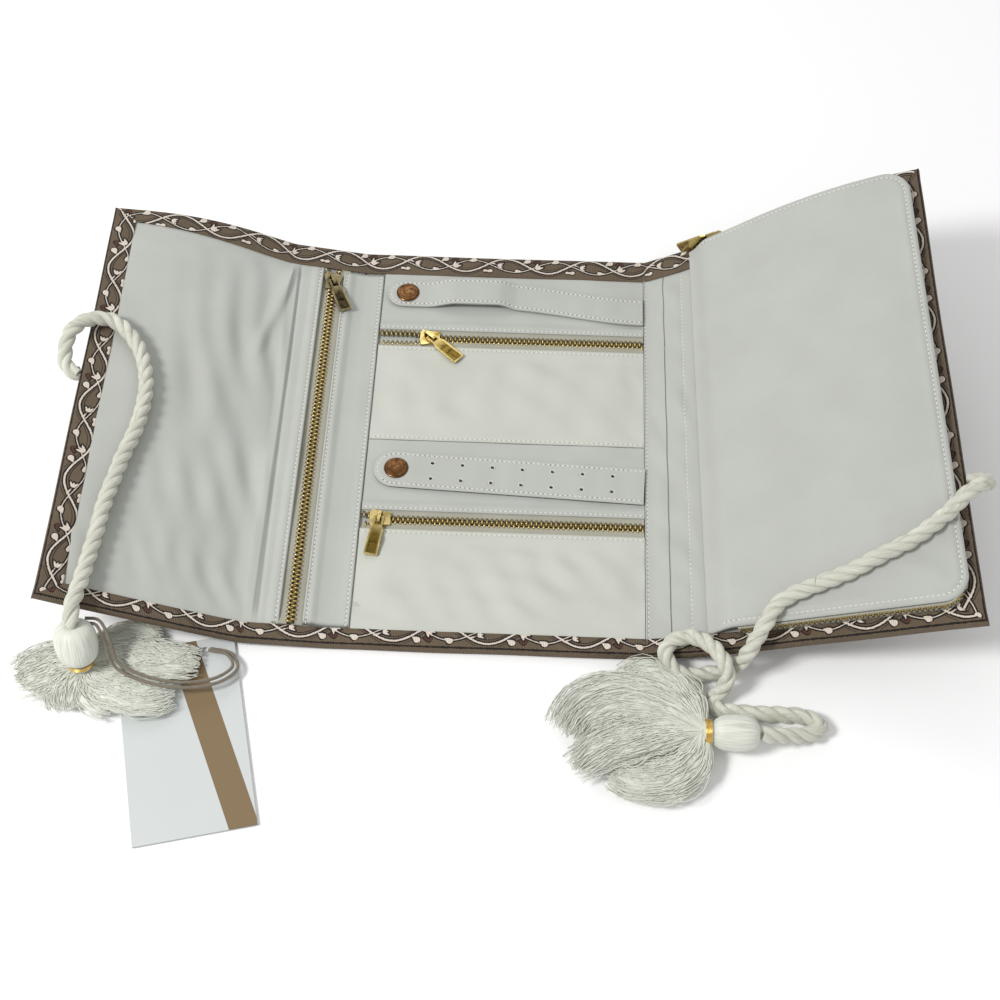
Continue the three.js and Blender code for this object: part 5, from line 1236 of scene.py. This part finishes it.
def climb(distance, room=0.0):
    """The lining rises onto a zip's tape."""
    return (TAPE_CLIMB + room) * (1 - smooth(np.abs(distance), TAPE_FULL, TAPE_FULL + TAPE_RAMP))


def between_bands(t):
    """1 along the long zip and 0 under the border at its two ends."""
    return smooth(t, -115.2, -112.2) * (1 - smooth(t, 107.2, 110.2))


def hem(distance):
    """Height beside a turned and stitched edge."""
    edge = np.clip(distance / 0.7, 0, 1)
    roll = -0.42 * (1 - np.sqrt(1 - (1 - edge) ** 2))
    return roll - 0.34 * bell(distance, STITCH_IN, 0.55) + 0.26 * bell(distance, 0.8, 0.5)


def swell(distance, reach=12):
    """0 at a stitch row and 1 well away from it."""
    return smooth(distance, STITCH_IN, reach)


FINE = (0.12, 0.35, 0.7, 1.1, 1.5, 1.9, 2.5, 3.4)


def lining_panel(name, q_lines, t_lines, top, rows, material=COTTON, thick=0.5):
    """Cotton with its top at a height over q and t, and stitch rows as lists of (q, t)."""
    sewn = Sewn()
    q, t = np.meshgrid(q_lines, t_lines, indexing="ij")
    height = top(q, t)
    sewn.slab(surface(q, t, height - thick), surface(q, t, height))
    for row in rows:
        reach = travel(row)
        rq, rt = at_places(np.linspace(0, reach[-1], max(int(reach[-1]), 2)), reach, row).T
        on = top(rq, rt)
        up = surface(rq, rt, on + 1) - surface(rq, rt, on)
        sewn.stitches(surface(rq, rt, on), up.mean(axis=0))
    return sewn.make(name, [material, THREAD, HOLE_SHADE])


# %% Centre panel's linings
SEAM_LEFT, SEAM_RIGHT = -67.2, 76.5
NEAR_END, FAR_END = -123.5, 123.5  # where the cloth goes under the border
UPPER_LOW, EARRING_HIGH = -2.0, -2.3  # the upper pocket's lower edge, and the lining that goes under it
centre_q = lines(SEAM_LEFT, SEAM_RIGHT, 2.0, FINE)


def centre_edges(q):
    """Distance from the nearer side seam."""
    return np.minimum(q - SEAM_LEFT, SEAM_RIGHT - q)


def top_ring_side(q, t):
    inner = t - (UPPER_ZIP + ZIP_EDGE)
    puff = 0.35 * swell(inner) * swell(centre_edges(q))
    folds = 0.3 * ripples(q, t, 41, 17, 65, 25) * swell(inner, 6)
    return LINING_TOP + climb(t - UPPER_ZIP) + hem(inner) + puff + folds


def away_from(q, t, middle_q, middle_t, reach):
    """0 where a zip's pull lies and 1 away from it, so that no fold touches the pull."""
    near = ((q - middle_q) ** 2 + (t - middle_t) ** 2) / reach ** 2
    return 1 - np.exp(-(near ** 2))


def top_upper_pocket(q, t):
    inner, low = (UPPER_ZIP - ZIP_EDGE) - t, t - UPPER_LOW
    puff = 1.2 * swell(inner, 20) * swell(low, 16) * swell(centre_edges(q), 16)
    folds = ripples(q, t, 42, 18, 20, 40) * (0.75 * swell(low, 10) * swell(inner, 18) + 0.05)
    folds = folds * away_from(q, t, -28, 52, 22)
    corner = 0.3 * ripples(q, t, 52, 9, 20, 20) * smooth(q, 52, 70) * swell(inner, 6) * swell(low, 6)
    lift = 0.5 * (1 - smooth(low, 0, 9))
    return LINING_TOP + climb(t - UPPER_ZIP) + hem(inner) + hem(low) + puff + folds + corner + lift


def top_earring_side(q, t):
    inner, high = t - (LOWER_ZIP + ZIP_EDGE), EARRING_HIGH - t
    folds = 0.28 * ripples(q, t, 43, 16, 75, 20) * swell(inner, 6)
    return LINING_TOP + climb(t - LOWER_ZIP) + hem(inner) + 0.2 * swell(high) * swell(inner) + folds


def top_lower_pocket(q, t):
    inner = (LOWER_ZIP - ZIP_EDGE) - t
    away = swell(inner, 16)
    puff = 1.3 * away * swell(centre_edges(q), 16) * (1 - smooth(-t, 96, 112))
    folds = ripples(q, t, 44, 17, 55, 25) * (0.95 * away * (1 - smooth(-t, 104, 114)) + 0.04)
    folds = folds * away_from(q, t, -57, -68, 22)
    return LINING_TOP + climb(t - LOWER_ZIP) + hem(inner) + puff + folds


def row_across(t):
    """A stitch row from seam to seam."""
    return [(SEAM_LEFT + 0.8, t), (SEAM_RIGHT - 0.8, t)]


for name, low, high, top, rows, material, node in (
    ("ring_side_lining", UPPER_ZIP + ZIP_EDGE, FAR_END, top_ring_side,
     [UPPER_ZIP + ZIP_EDGE + STITCH_IN], COTTON, "lining_behind_ring_strap"),
    ("upper_pocket_cloth", UPPER_LOW, UPPER_ZIP - ZIP_EDGE, top_upper_pocket,
     [UPPER_ZIP - ZIP_EDGE - STITCH_IN, UPPER_LOW + STITCH_IN], COTTON_WARM, "upper_pocket_panel"),
    ("earring_side_lining", LOWER_ZIP + ZIP_EDGE, EARRING_HIGH, top_earring_side,
     [LOWER_ZIP + ZIP_EDGE + STITCH_IN], COTTON, "lining_behind_earring_strap"),
    ("lower_pocket_cloth", NEAR_END, LOWER_ZIP - ZIP_EDGE, top_lower_pocket,
     [LOWER_ZIP - ZIP_EDGE - STITCH_IN], COTTON_WARM, "lower_pocket_panel"),
):
    piece = lining_panel(name, centre_q, lines(low, high, 2.0, FINE), top,
                         [row_across(t) for t in rows], material)
    settle(piece, "centre", "lining_cotton", node)
    size = ((SEAM_RIGHT - SEAM_LEFT) * MM, (high - low) * MM)


# %% Strip between the centre panel and the long zip
STRIP_SEAM = -67.8


def row_down(q):
    """A stitch row from the near border to the far one."""
    return [(q, -114), (q, 109)]


def top_left_strip(q, t):
    seam, inner = STRIP_SEAM - q, q - (LONG_ZIP + ZIP_EDGE)
    rise = climb(q - LONG_ZIP, 0.35) * smooth(-q, 80, 84) * between_bands(t)
    folds = 0.5 * ripples(q, t, 45, 26, 10, 20) * swell(seam, 6) * swell(inner, 6)
    level = LINING_TOP + 0.35 * (1 - smooth(seam, 0, 6)) + rise
    return level + hem(seam) + hem(inner) + folds + 0.35 * swell(seam, 8) * swell(inner, 8)


strip = lining_panel(
    "left_strip_cloth", lines(STRIP_SEAM, LONG_ZIP + ZIP_EDGE, 1.5, FINE), lines(-114.5, 109.5, 3.0),
    top_left_strip, [row_down(STRIP_SEAM - STITCH_IN), row_down(LONG_ZIP + ZIP_EDGE + STITCH_IN)])
bend(strip, "centre", "left_wing", -69, -89, "lining_cotton", "strip_centre", "strip_left_wing")


# %% Lining of the left leaf
LEAF_ZIP_SIDE = LONG_ZIP - ZIP_EDGE


def top_left_leaf(q, t):
    level = LINING_TOP + climb(q - LONG_ZIP, 0.35) * between_bands(t)
    edge = np.minimum(q + 219, np.minimum(t + 118, 114 - t))
    room = smooth(edge, 2, 14)
    ridge_line = -117.5 - 0.245 * np.clip(112 - t, 0, 80)
    ridge = 2.7 * bell(q, ridge_line, 3.0) * smooth(t, 28, 66) * room
    crease = -bell(q + 0.01 * t, -113.8, 0.8)
    valley = (crease + 1.2 * smooth(-q, 114, 116) * (1 - smooth(-q, 118, 128))) * room
    long_folds = ripples(q, t, 46, 19, 4, 10) * smooth(q, -196, -140) * (1 - smooth(q, -123, -112))
    near_folds = ripples(q, t, 47, 13, 22, 14) * (1 - smooth(t, -105, -70)) * smooth(-q, 108, 130)
    slack = ripples(q, t, 48, 55, 30, 60) * (0.8 - 0.5 * smooth(-q, 165, 190))
    folds = 1.15 * long_folds + 0.8 * near_folds + slack + 0.8
    return level + hem(LEAF_ZIP_SIDE - q) + ridge + valley + room * folds


leaf_q = np.append(lines(LEAF_ZIP_SIDE, -118, 0.5, FINE), lines(-119.6, -219.2, 1.6, FINE))
leaf_lining = lining_panel("left_leaf_cloth", leaf_q, lines(NEAR_END, FAR_END, 2.4), top_left_leaf,
                           [row_down(LEAF_ZIP_SIDE - STITCH_IN)])
bend(leaf_lining, "left_wing", "left_panel", -115, -126,
     "lining_cotton", "lining_left_wing", "lining_left_panel")


# %% Lining of the spine and under the pouch page
SPINE_SEAM, PAGE_SEAM_ROW = 76.8, 100.5


def top_spine_strip(q, t):
    seam = q - SPINE_SEAM
    edge = smooth(np.minimum(t + 116, 111 - t), 0, 10)
    folds = ripples(q, t, 49, 17, 32, 24) * 0.95 * smooth(q, 80, 86) * (1 - smooth(q, 98, 106))
    slack = 0.5 * smooth(q, 80, 88) * (1 - smooth(q, 96, 103))
    seam_lift = 0.9 * (1 - smooth(seam, 0, 7))
    return LINING_TOP + seam_lift + hem(seam) + edge * (folds + slack) - 0.3 * bell(q, PAGE_SEAM_ROW, 0.6)


spine_t = lines(NEAR_END, FAR_END, 3.0)
spine_strip = lining_panel("spine_strip_cloth", lines(SPINE_SEAM, 90, 1.5, FINE), spine_t, top_spine_strip,
                           [row_down(SPINE_SEAM + STITCH_IN)])
bend(spine_strip, "centre", "spine", 76, 85, "lining_cotton", "lining_spine")
wing_q = np.concatenate([lines(90, 110, 1.0), lines(113, 236.8, 5.0)])
wing_lining = lining_panel("wing_lining_cloth", wing_q, spine_t, top_spine_strip, [row_down(PAGE_SEAM_ROW)])
bend(wing_lining, "spine", "right_wing", 97, 107, "lining_cotton", "lining_spine", "pouch_base")

# %% [markdown]
# ## Pouch page
# The page is the largest plain surface here: taut cotton over soft padding, with a stitch row
# 3 mm inside its free edges and a rounded rim. It follows the solid's own heights, and a rim
# roll, the pull of the thread and a few slack folds near its seam make it cloth.

# %% The page
PAGE_STITCH = 2.9  # the stitch row's distance from the page's edges


def page_top(d, t):
    high = page_heights(d, t)[1]
    inset = page_inset(d, t)
    roll = -0.7 * (1 - np.sqrt(1 - (1 - np.clip(inset / 1.2, 0, 1)) ** 2))
    rim = 0.25 * bell(inset, 1.4, 0.7) - 0.4 * bell(inset, PAGE_STITCH, 0.7) + 0.3 * bell(inset, 5.2, 1.6)
    slack = 0.85 * ripples(d, t, 61, 70, 30, 60) * smooth(inset, 5, 22) * smooth(d, 10, 26)
    diagonal = ripples(d, t, 62, 15, 52, 10) * bell(d, 22, 12) * bell(t, 62, 34) * smooth(d, 8, 16)
    near = ripples(d, t, 63, 15, 75, 14) * 0.55 * (1 - smooth(t, -95, -60)) * smooth(inset, 5, 12)
    return high + roll + rim + slack + diagonal + near


def on_wing(d, t, h):
    """A point over the right wing, with d counted from its fold."""
    return surface(WING_FOLD + d, t, h)


def around_page(start, inset, nearer, step):
    """Places round the page's three free edges from its near side, and the distance to each."""
    end, near, far = PAGE_END - inset, PAGE_NEAR + inset - nearer, PAGE_FAR - inset
    radius = PAGE_CORNER - inset
    turn = np.radians(np.arange(0, 91, step))
    route = [(start, near)]
    route += [(end - radius + radius * math.sin(a), near + radius - radius * math.cos(a)) for a in turn]
    route += [(end - radius + radius * math.cos(a), far - radius + radius * math.sin(a)) for a in turn]
    route += [(start, far)]
    return np.array(route), travel(route)


def make_page():
    sewn = Sewn()
    corner = [PAGE_END - PAGE_CORNER * (1 - math.sin(math.radians(a))) for a in range(0, 90, 6)]
    plain = lines(PAGE_INNER, PAGE_END - 0.05, 2.2, (0.15, 0.4, 0.8, 1.3, 2, 3, 4.2, 5.4))
    shares = lines(0, 1, 0.0095, (0.0006, 0.0017, 0.0034, 0.0055, 0.009, 0.013, 0.0178, 0.023))
    d = np.array(sorted(set([*plain, *corner])))[:, None]
    short = np.clip(PAGE_CORNER - (PAGE_END - d), 0, PAGE_CORNER - 0.02)
    drawn = PAGE_CORNER - np.sqrt(PAGE_CORNER ** 2 - short ** 2)
    t = (PAGE_NEAR + drawn) + (PAGE_FAR - PAGE_NEAR - 2 * drawn) * shares[None, :]
    d = np.broadcast_to(d, t.shape)
    low, high = page_heights(d, t)[0], page_top(d, t)
    sewn.slab(on_wing(d, t, np.minimum(low + 0.05, high - 0.5)), on_wing(d, t, high))
    route, reach = around_page(14.0, PAGE_STITCH, 0, 10)
    rd, rt = at_places(np.linspace(0, reach[-1], 520), reach, route).T
    sewn.stitches(on_wing(rd, rt, page_top(rd, rt)), on_wing(70, 0, 1) - on_wing(70, 0, 0))
    return sewn.make("page_cloth", [COTTON, THREAD, HOLE_SHADE])


page = make_page()
settle(page, "pouch_page", "lining_cotton", "pouch_page")

# %% [markdown]
# ## Zips
# A metal zip is two woven tapes with a row of teeth clamped along each. The teeth of one row sit
# between those of the other. Each tooth is a small rounded block with a broad foot on the tape
# and a narrower head. The rows part ahead of the slider, so each tooth is placed by the same
# rule as the solid's.

# %% One tooth, as a list of corners
TOOTH_ALONG, TOOTH_HIGH, TOOTH_FOOT, TOOTH_HEAD = 1.25, 1.9, 2.75, -0.75


def tooth_block():
    """A rounded block: x along the zip, y across from head to foot, z up."""
    body = bmesh.new()
    bmesh.ops.create_cube(body, size=1)
    for vertex in body.verts:
        head = vertex.co.y < 0
        vertex.co.x *= TOOTH_ALONG * (0.78 if head else 1.05)
        vertex.co.y = TOOTH_HEAD if head else TOOTH_FOOT
        vertex.co.z *= TOOTH_HIGH * (0.86 if head else 1.0)
    bmesh.ops.bevel(body, geom=body.edges[:], offset=0.26, segments=2, affect="EDGES", clamp_overlap=True)
    body.verts.ensure_lookup_table()
    points = np.array([v.co[:] for v in body.verts])
    faces = [tuple(v.index for v in f.verts) for f in body.faces]
    body.free()
    return points, faces


TOOTH_POINTS, TOOTH_FACES = tooth_block()
ZIP_MIDDLE, PITCH = 4.2, 2.5


def zip_spread(x, slider, nose=5.2):
    """How far a row stands off the middle, ahead of the slider."""
    ahead = slider - x
    near = smooth(ahead, 0, nose) * 1.5 + smooth(ahead, nose, 2 * nose) * 0.9
    return np.where(ahead <= 0, 0, near)


# The tape's section: how far out from the zip's middle, and how high
TAPE_SECTION = [(1.9, 0.5), (2.5, 0.52), (3.2, 0.2), (4.0, 0.24), (5.0, 0.2), (6.5, 0.1), (9.1, 0.0)]


def zip_half(name, body, node, place, along, across, up, start, end, slider, side):
    """Half a zip: its tape, the cord at the tape's edge and its teeth, in a frame of its own."""
    sewn = Sewn()
    place, along, across, up = [np.asarray(v, float) for v in (place, along, across, up)]

    def world(points):
        return place + points[..., :1] * along + points[..., 1:2] * across + points[..., 2:] * up

    x = lines(start, end, 1.6)
    y, rise = np.array(TAPE_SECTION).T
    wide = side * (y[None, :] + zip_spread(x, slider)[:, None] * (1 - smooth(y, 4, 9))[None, :])
    low, high = [world(together(x[:, None], wide, level)) for level in (-0.25 - rise * 0.5, 0.1 + rise)]
    sewn.slab(low, high, 1)
    faces = TOOTH_FACES if side > 0 else [f[::-1] for f in TOOTH_FACES]
    for middle in np.arange(start + 0.95 + (0 if side > 0 else PITCH / 2) + 0.475, end - 0.6, PITCH):
        points = TOOTH_POINTS.copy()
        points[:, 0] += middle
        points[:, 1] = side * (points[:, 1] + zip_spread(points[:, 0], slider))
        sewn.add(world(points), faces, 0)
    settle(sewn.make(name, [TEETH, TAPE]), body, "zip_tape_and_teeth", node)


X, Y, Z = (1, 0, 0), (0, 1, 0), (0, 0, 1)
for key, y, slider in (("upper_zip", UPPER_ZIP, -39.5), ("lower_zip", LOWER_ZIP, -57.5)):
    for word, side in (("far", 1), ("near", -1)):
        zip_half(f"{key}_{word}_teeth", "centre", f"{key}_{word}_half",
                 (0, y, ZIP_MIDDLE), X, Y, Z, SEAM_LEFT, 76.2, slider, side)

# %% Long zip on the left wing
LONG_SLIDER = 100  # where the slider is, on the far side
low_end, high_end = surface(LONG_ZIP, -115, ZIP_MIDDLE), surface(LONG_ZIP, 110, ZIP_MIDDLE)
long_along = (low_end - high_end) / np.linalg.norm(low_end - high_end)
long_slope = math.radians(7)
long_across = np.cross((math.sin(long_slope), 0, math.cos(long_slope)), long_along)
long_across /= np.linalg.norm(long_across)
long_up = np.cross(long_along, long_across)
long_half = np.linalg.norm(high_end - low_end) / 2 - 0.3
long_slider = -(LONG_SLIDER - (low_end[1] + high_end[1]) / 2)
for word, side in (("right", 1), ("left", -1)):
    zip_half(f"long_zip_{word}_teeth", "left_wing", f"long_zip_{word}_half", (low_end + high_end) / 2,
             long_along, long_across, long_up, -long_half, long_half, long_slider, side)

# %% Zip round the pouch: teeth on a tape that stands between the page and the border
POUCH_START, POUCH_INSET, POUCH_NEARER = 21.5, 2.9, 3.6


def pouch_zip(name, body, node, low, high, tooth_low, tooth_high, phase):
    """Half of the pouch's zip: heights of its tape, then of its teeth, and where the teeth start."""
    sewn = Sewn()
    route, reach = around_page(POUCH_START, POUCH_INSET, POUCH_NEARER, 6)
    places = np.linspace(0, reach[-1], 330)
    d, t = at_places(places, reach, route).T
    way = np.stack([np.gradient(d), np.gradient(t)], axis=1)
    way /= np.linalg.norm(way, axis=1)[:, None]
    out = np.stack([way[:, 1], -way[:, 0]], axis=1)
    shell = [on_wing(d + out[:, 0] * offset, t + out[:, 1] * offset, h)
             for offset, h in ((0.35, low), (0.35, high), (-0.35, high), (-0.35, low))]
    sewn.grid(np.stack(shell, axis=1), 1, closed=True)
    x, y, z = TOOTH_POINTS.T
    height = tooth_low + (tooth_high - tooth_low) * (y - TOOTH_HEAD) / (TOOTH_FOOT - TOOTH_HEAD)
    for middle in np.arange(1.0 + phase, reach[-1] - 1, PITCH):
        k = min(int(np.searchsorted(places, middle)), len(d) - 1)
        at_d, at_t = [np.interp(middle, places, v) for v in (d, t)]
        points = on_wing(at_d + way[k, 0] * x + out[k, 0] * z * 0.9,
                         at_t + way[k, 1] * x + out[k, 1] * z * 0.9, height)
        sewn.add(points, TOOTH_FACES, 0)
    settle(sewn.make(name, [TEETH, TAPE], weld=0.0001), body, "zip_tape_and_teeth", node)


pouch_zip("pouch_lower_teeth", "right_wing", "pouch_zip_lower", 5.1, 7.9, 9.2, 6.7, 0)
pouch_zip("pouch_upper_teeth", "pouch_page", "pouch_zip_upper", 8.9, 10.6, 8.1, 10.4, PITCH / 2)

# %% [markdown]
# ## Straps
# Each strap is a doubled strip of cotton, sewn down at its right end and held by a snap at the
# left. The ring strap stands up in the middle like an arch, so that rings can slide onto it. The
# earring strap lies flat and has two rows of small holes for earring posts.

# %% Ring strap
STRAP_LOW, STRAP_THICK, STRAP_STITCH = 4.9, 1.5, 1.9  # STRAP_STITCH is the row's distance from the edge
STRAP_SHARES = np.array([-1, -0.985, -0.95, -0.88, -0.8, -0.6, -0.3, 0, 0.3, 0.6, 0.8, 0.88, 0.95, 0.985, 1])


def spin(turn):
    """Turns points about the z direction."""
    return np.array([[math.cos(turn), -math.sin(turn), 0], [math.sin(turn), math.cos(turn), 0], [0, 0, 1]])


def tip_half(x, width):
    """Half the strap's width at each place, with a round tip at the start."""
    radius = width / 2
    short = np.clip(radius - x, 0, radius)
    return np.sqrt(np.maximum(radius ** 2 - short ** 2, 0.02))


def strap_cloth(x, width, centre_y, low, left, turn, row=()):
    """A strip with rounded edges and a stitch row. x are places along it, from its left end."""
    sewn = Sewn()
    half = tip_half(x, width)
    y = centre_y[:, None] + half[:, None] * STRAP_SHARES[None, :]
    edge = half[:, None] * (1 - np.abs(STRAP_SHARES))[None, :]
    tip = np.clip(x - x[0], 0, None)[:, None]
    edge = np.minimum(edge, np.where(tip < 9, tip * 0.8 + edge * 0.2, edge))
    roll = 0.6 * (1 - np.sqrt(1 - (1 - np.clip(edge / 0.8, 0, 1)) ** 2))
    soft = 0.14 * ripples(x[:, None] + 0 * y, y, 71, 14, 8, 25) * smooth(edge, 1, 4)
    high = low[:, None] + STRAP_THICK - roll - 0.16 * bell(edge, STRAP_STITCH, 0.5) + soft
    sewn.slab(*(together(x[:, None], y, level) @ spin(turn).T + left
                for level in (low[:, None] + roll * 0.8, high)))
    if len(row):
        px, share = np.array(row).T
        across = share * np.maximum(np.interp(px, x, half) - STRAP_STITCH, 0)
        path = together(px, np.interp(px, x, centre_y) + across, np.interp(px, x, low) + STRAP_THICK - 0.12)
        sewn.stitches(path @ spin(turn).T + left, (0, 0, 1))
    return sewn


def tip_row(x_to, width):
    """A stitch row along the far edge, round the tip and back: places and shares of the half width."""
    inner = width / 2 - STRAP_STITCH
    row = [(px, 1.0) for px in np.linspace(x_to, width / 2, 90)]
    for a in np.radians(np.arange(0, 181, 9)):
        px = width / 2 - inner * math.sin(a)
        local_half = math.sqrt(max((width / 2) ** 2 - (width / 2 - px) ** 2, 0.01))
        row.append((px, math.cos(a) * inner / max(local_half - STRAP_STITCH, 0.3)))
    return row + [(px, -1.0) for px in np.linspace(width / 2, x_to, 90)]


ring_left, ring_length, ring_width = np.array([-64.5, 95.4, 0.0]), 140.7, 18.0
RING_DOWN = -8.4  # how far the fixed end lies nearer than the tip
tip_x = [0.02, 0.15, 0.4, 0.8, 1.4, 2.2, 3.2, 4.5, 6]
ring_x = np.concatenate([tip_x + [7.5], lines(9, ring_length, 1.5)])
rise, full, fall, down = [v - ring_left[0] for v in (-43, -26, -4, 8)]
ring_lift = 3.7 * smooth(ring_x, rise, full) * (1 - smooth(ring_x, fall, down))
ring_y = RING_DOWN * smooth(ring_x, fall, ring_length)
ring_cloth = strap_cloth(ring_x, ring_width, ring_y, STRAP_LOW + ring_lift, ring_left, 0.0,
                         tip_row(ring_length - 1, ring_width))
ring_strap = ring_cloth.make("ring_strap_cloth", [COTTON, THREAD, HOLE_SHADE])
settle(ring_strap, "ring_strap", "lining_cotton", "ring_strap")

# %% Earring strap with its holes
HOLE_PAIRS, HOLE_FIRST, HOLE_STEP, HOLE_SIDE, HOLE_RADIUS = 7, 30, 15.5, 4.75, 1.05
ear_left = np.array([-63, -21, 0.0])
ear_right = np.array([76.2, -27.5, 0.0])
ear_turn = math.atan2(ear_right[1] - ear_left[1], ear_right[0] - ear_left[0])
ear_length, ear_width = float(np.linalg.norm(ear_right - ear_left)), 22.0
ear_x = np.concatenate([tip_x + [8, 9.5], lines(11, ear_length, 1.5)])
ear_strip = (ear_x, ear_width, 0 * ear_x, STRAP_LOW + 0 * ear_x, ear_left, ear_turn)
ear_cloth = strap_cloth(*ear_strip, tip_row(ear_length - 1, ear_width))


def circle(radius, turns):
    return together(radius * np.cos(turns), radius * np.sin(turns), 0.0)


cutter = Sewn()
for column in range(HOLE_PAIRS):
    for side in (1, -1):
        at = np.array([HOLE_FIRST + column * HOLE_STEP, side * HOLE_SIDE, STRAP_LOW + STRAP_THICK])
        ring = at + circle(HOLE_RADIUS + 0.2, np.linspace(0, 2 * np.pi, 17))
        tube(ear_cloth, ring @ spin(ear_turn).T + ear_left, 0.2, 6, 1, caps=False)
        wall = at + circle(HOLE_RADIUS, 2 * np.pi * np.arange(12) / 12)
        stack = np.array([wall + (0, 0, dz) for dz in (-4, 2)])
        cutter.grid(stack @ spin(ear_turn).T + ear_left, 0, closed=True, flip=True)
        cutter.cap(2, 12)

# %% [markdown]
# The holes are cut through the bare strip with a Boolean modifier. Stitches would trouble it, since
# they touch the cloth, so the threads are taken from a second copy of the strap and joined on.

# %% Cut the holes and join the threads
threads = ear_cloth.make("earring_strap_threads", [COTTON, THREAD, HOLE_SHADE])
earring_strap = strap_cloth(*ear_strip).make("earring_strap_cloth", [COTTON, THREAD, HOLE_SHADE])
cutting = cutter.make("hole_cutter", [COTTON], weld=0.0001)
modifier = earring_strap.modifiers.new("holes", "BOOLEAN")
modifier.operation = "DIFFERENCE"
modifier.object = cutting
modifier.solver = "EXACT"
bpy.context.view_layer.update()
depsgraph = bpy.context.evaluated_depsgraph_get()
cut_mesh = bpy.data.meshes.new_from_object(earring_strap.evaluated_get(depsgraph))
earring_strap.modifiers.clear()
whole = bmesh.new()
whole.from_mesh(threads.data)
bmesh.ops.delete(whole, geom=[face for face in whole.faces if face.material_index == 0], context="FACES")
whole.from_mesh(cut_mesh)
whole.to_mesh(earring_strap.data)
whole.free()
bpy.data.objects.remove(cutting)
bpy.data.objects.remove(threads)
settle(earring_strap, "earring_strap", "lining_cotton", "earring_strap")


# %% [markdown]
# ## Snaps, sliders and pulls
# The snap caps are pressed copper discs with a low dome, a rim and a ring where the press held
# them. The sliders and pulls keep the solids' own shapes, because they are right, and get a
# rounded edge from a Bevel modifier, as cast and tumbled brass has.

# %% Snap caps
CAP_PROFILE = [
    (0.02, 1.0), (2.0, 0.99), (3.4, 0.93), (4.3, 0.86), (4.55, 0.78), (4.8, 0.84), (5.4, 0.78), (5.9, 0.6),
    (6.2, 0.32), (6.25, 0.1), (6.15, 0.0), (2.2, 0.0), (2.2, -1.7), (1.5, -1.7),
]
EARRING_CAP_X = -51.4
for name, body, x, y, node in (
    ("ring_cap", "ring_strap", -53.5, ring_left[1], "ring_snap_cap"),
    ("earring_cap", "earring_strap", EARRING_CAP_X,
     ear_left[1] + (EARRING_CAP_X - ear_left[0]) * math.tan(ear_turn), "earring_snap_cap"),
):
    cap = turned(CAP_PROFILE, (x, y, STRAP_LOW + STRAP_THICK + 0.3), (0, 0, 1), 64).make(name, [COPPER])
    settle(cap, body, "copper_snap", node)

# %% Finishes of the solids that stay
FINISHES = {"brass": BRASS, "antique_brass": ANTIQUE, "copper_snap": COPPER, "wadding": WADDING,
            "lining_cotton": COTTON}
for entry in frame["record"]["subparts"]:
    node, slot = frame["nodes"][entry["node"]], entry["material_slot"]
    if node.hide_render or slot not in FINISHES and slot != "card":
        continue
    finish = FINISHES.get(slot) or (CARD if entry["node"] == "tag_card" else CARD_BACK)
    node.data.materials.clear()
    node.data.materials.append(finish)
    if slot in ("brass", "antique_brass"):
        rounding = node.modifiers.new("rounded_edges", "BEVEL")
        rounding.width = 0.00022
        rounding.segments = 3
        rounding.limit_method = "ANGLE"
        rounding.angle_limit = math.radians(35)
        for polygon in node.data.polygons:
            polygon.use_smooth = True
kept = [n for n, o in frame["nodes"].items() if not o.hide_render]
print("solids that stay:", sorted(kept))

# %% [markdown]
# ## Table and light
# The photograph has a plain white ground and soft light, which comes mostly from the left, as from
# a window. A wide pale floor and a bright sky give the ground. The window lamp is small enough
# to draw every fold and stitch row of the cloth, and two weaker lamps open its shadows.

# %% Floor, lamps and sky
FLOOR_SIZE, FLOOR_LEVEL, FLOOR_WHITE = 6, -0.0006, 0.96
SKY = 0.53


def make_floor():
    bpy.ops.mesh.primitive_plane_add(size=FLOOR_SIZE, location=(0, 0, FLOOR_LEVEL))
    floor = bpy.context.active_object
    floor.name = "table_top"
    material, _, shader = start_material("table_top")
    shader.inputs["Base Color"].default_value = (FLOOR_WHITE, FLOOR_WHITE, FLOOR_WHITE, 1)
    shader.inputs["Roughness"].default_value = 0.9
    floor.data.materials.append(material)


def lamp(name, place, size, power):
    """A square lamp that points at the middle of the frame."""
    data = bpy.data.lights.new(name, "AREA")
    data.size = size
    data.energy = power
    aim(new_object(name, data), place, -Vector(place))


make_floor()
lamp("window_lamp", (-1.0, -0.55, 1.35), 0.4, 21)
lamp("back_lamp", (-0.3, 1.3, 1.2), 0.8, 4)
lamp("side_lamp", (1.3, -0.3, 1.1), 1.0, 2.5)
world = bpy.data.worlds.new("soft_sky")
world.use_nodes = True
sky = world.node_tree.nodes["Background"]
sky.inputs["Color"].default_value = (1, 1, 1, 1)
sky.inputs["Strength"].default_value = SKY
bpy.context.scene.world = world
bpy.context.scene.view_settings.view_transform = "Standard"
print("three lamps and a pale sky")
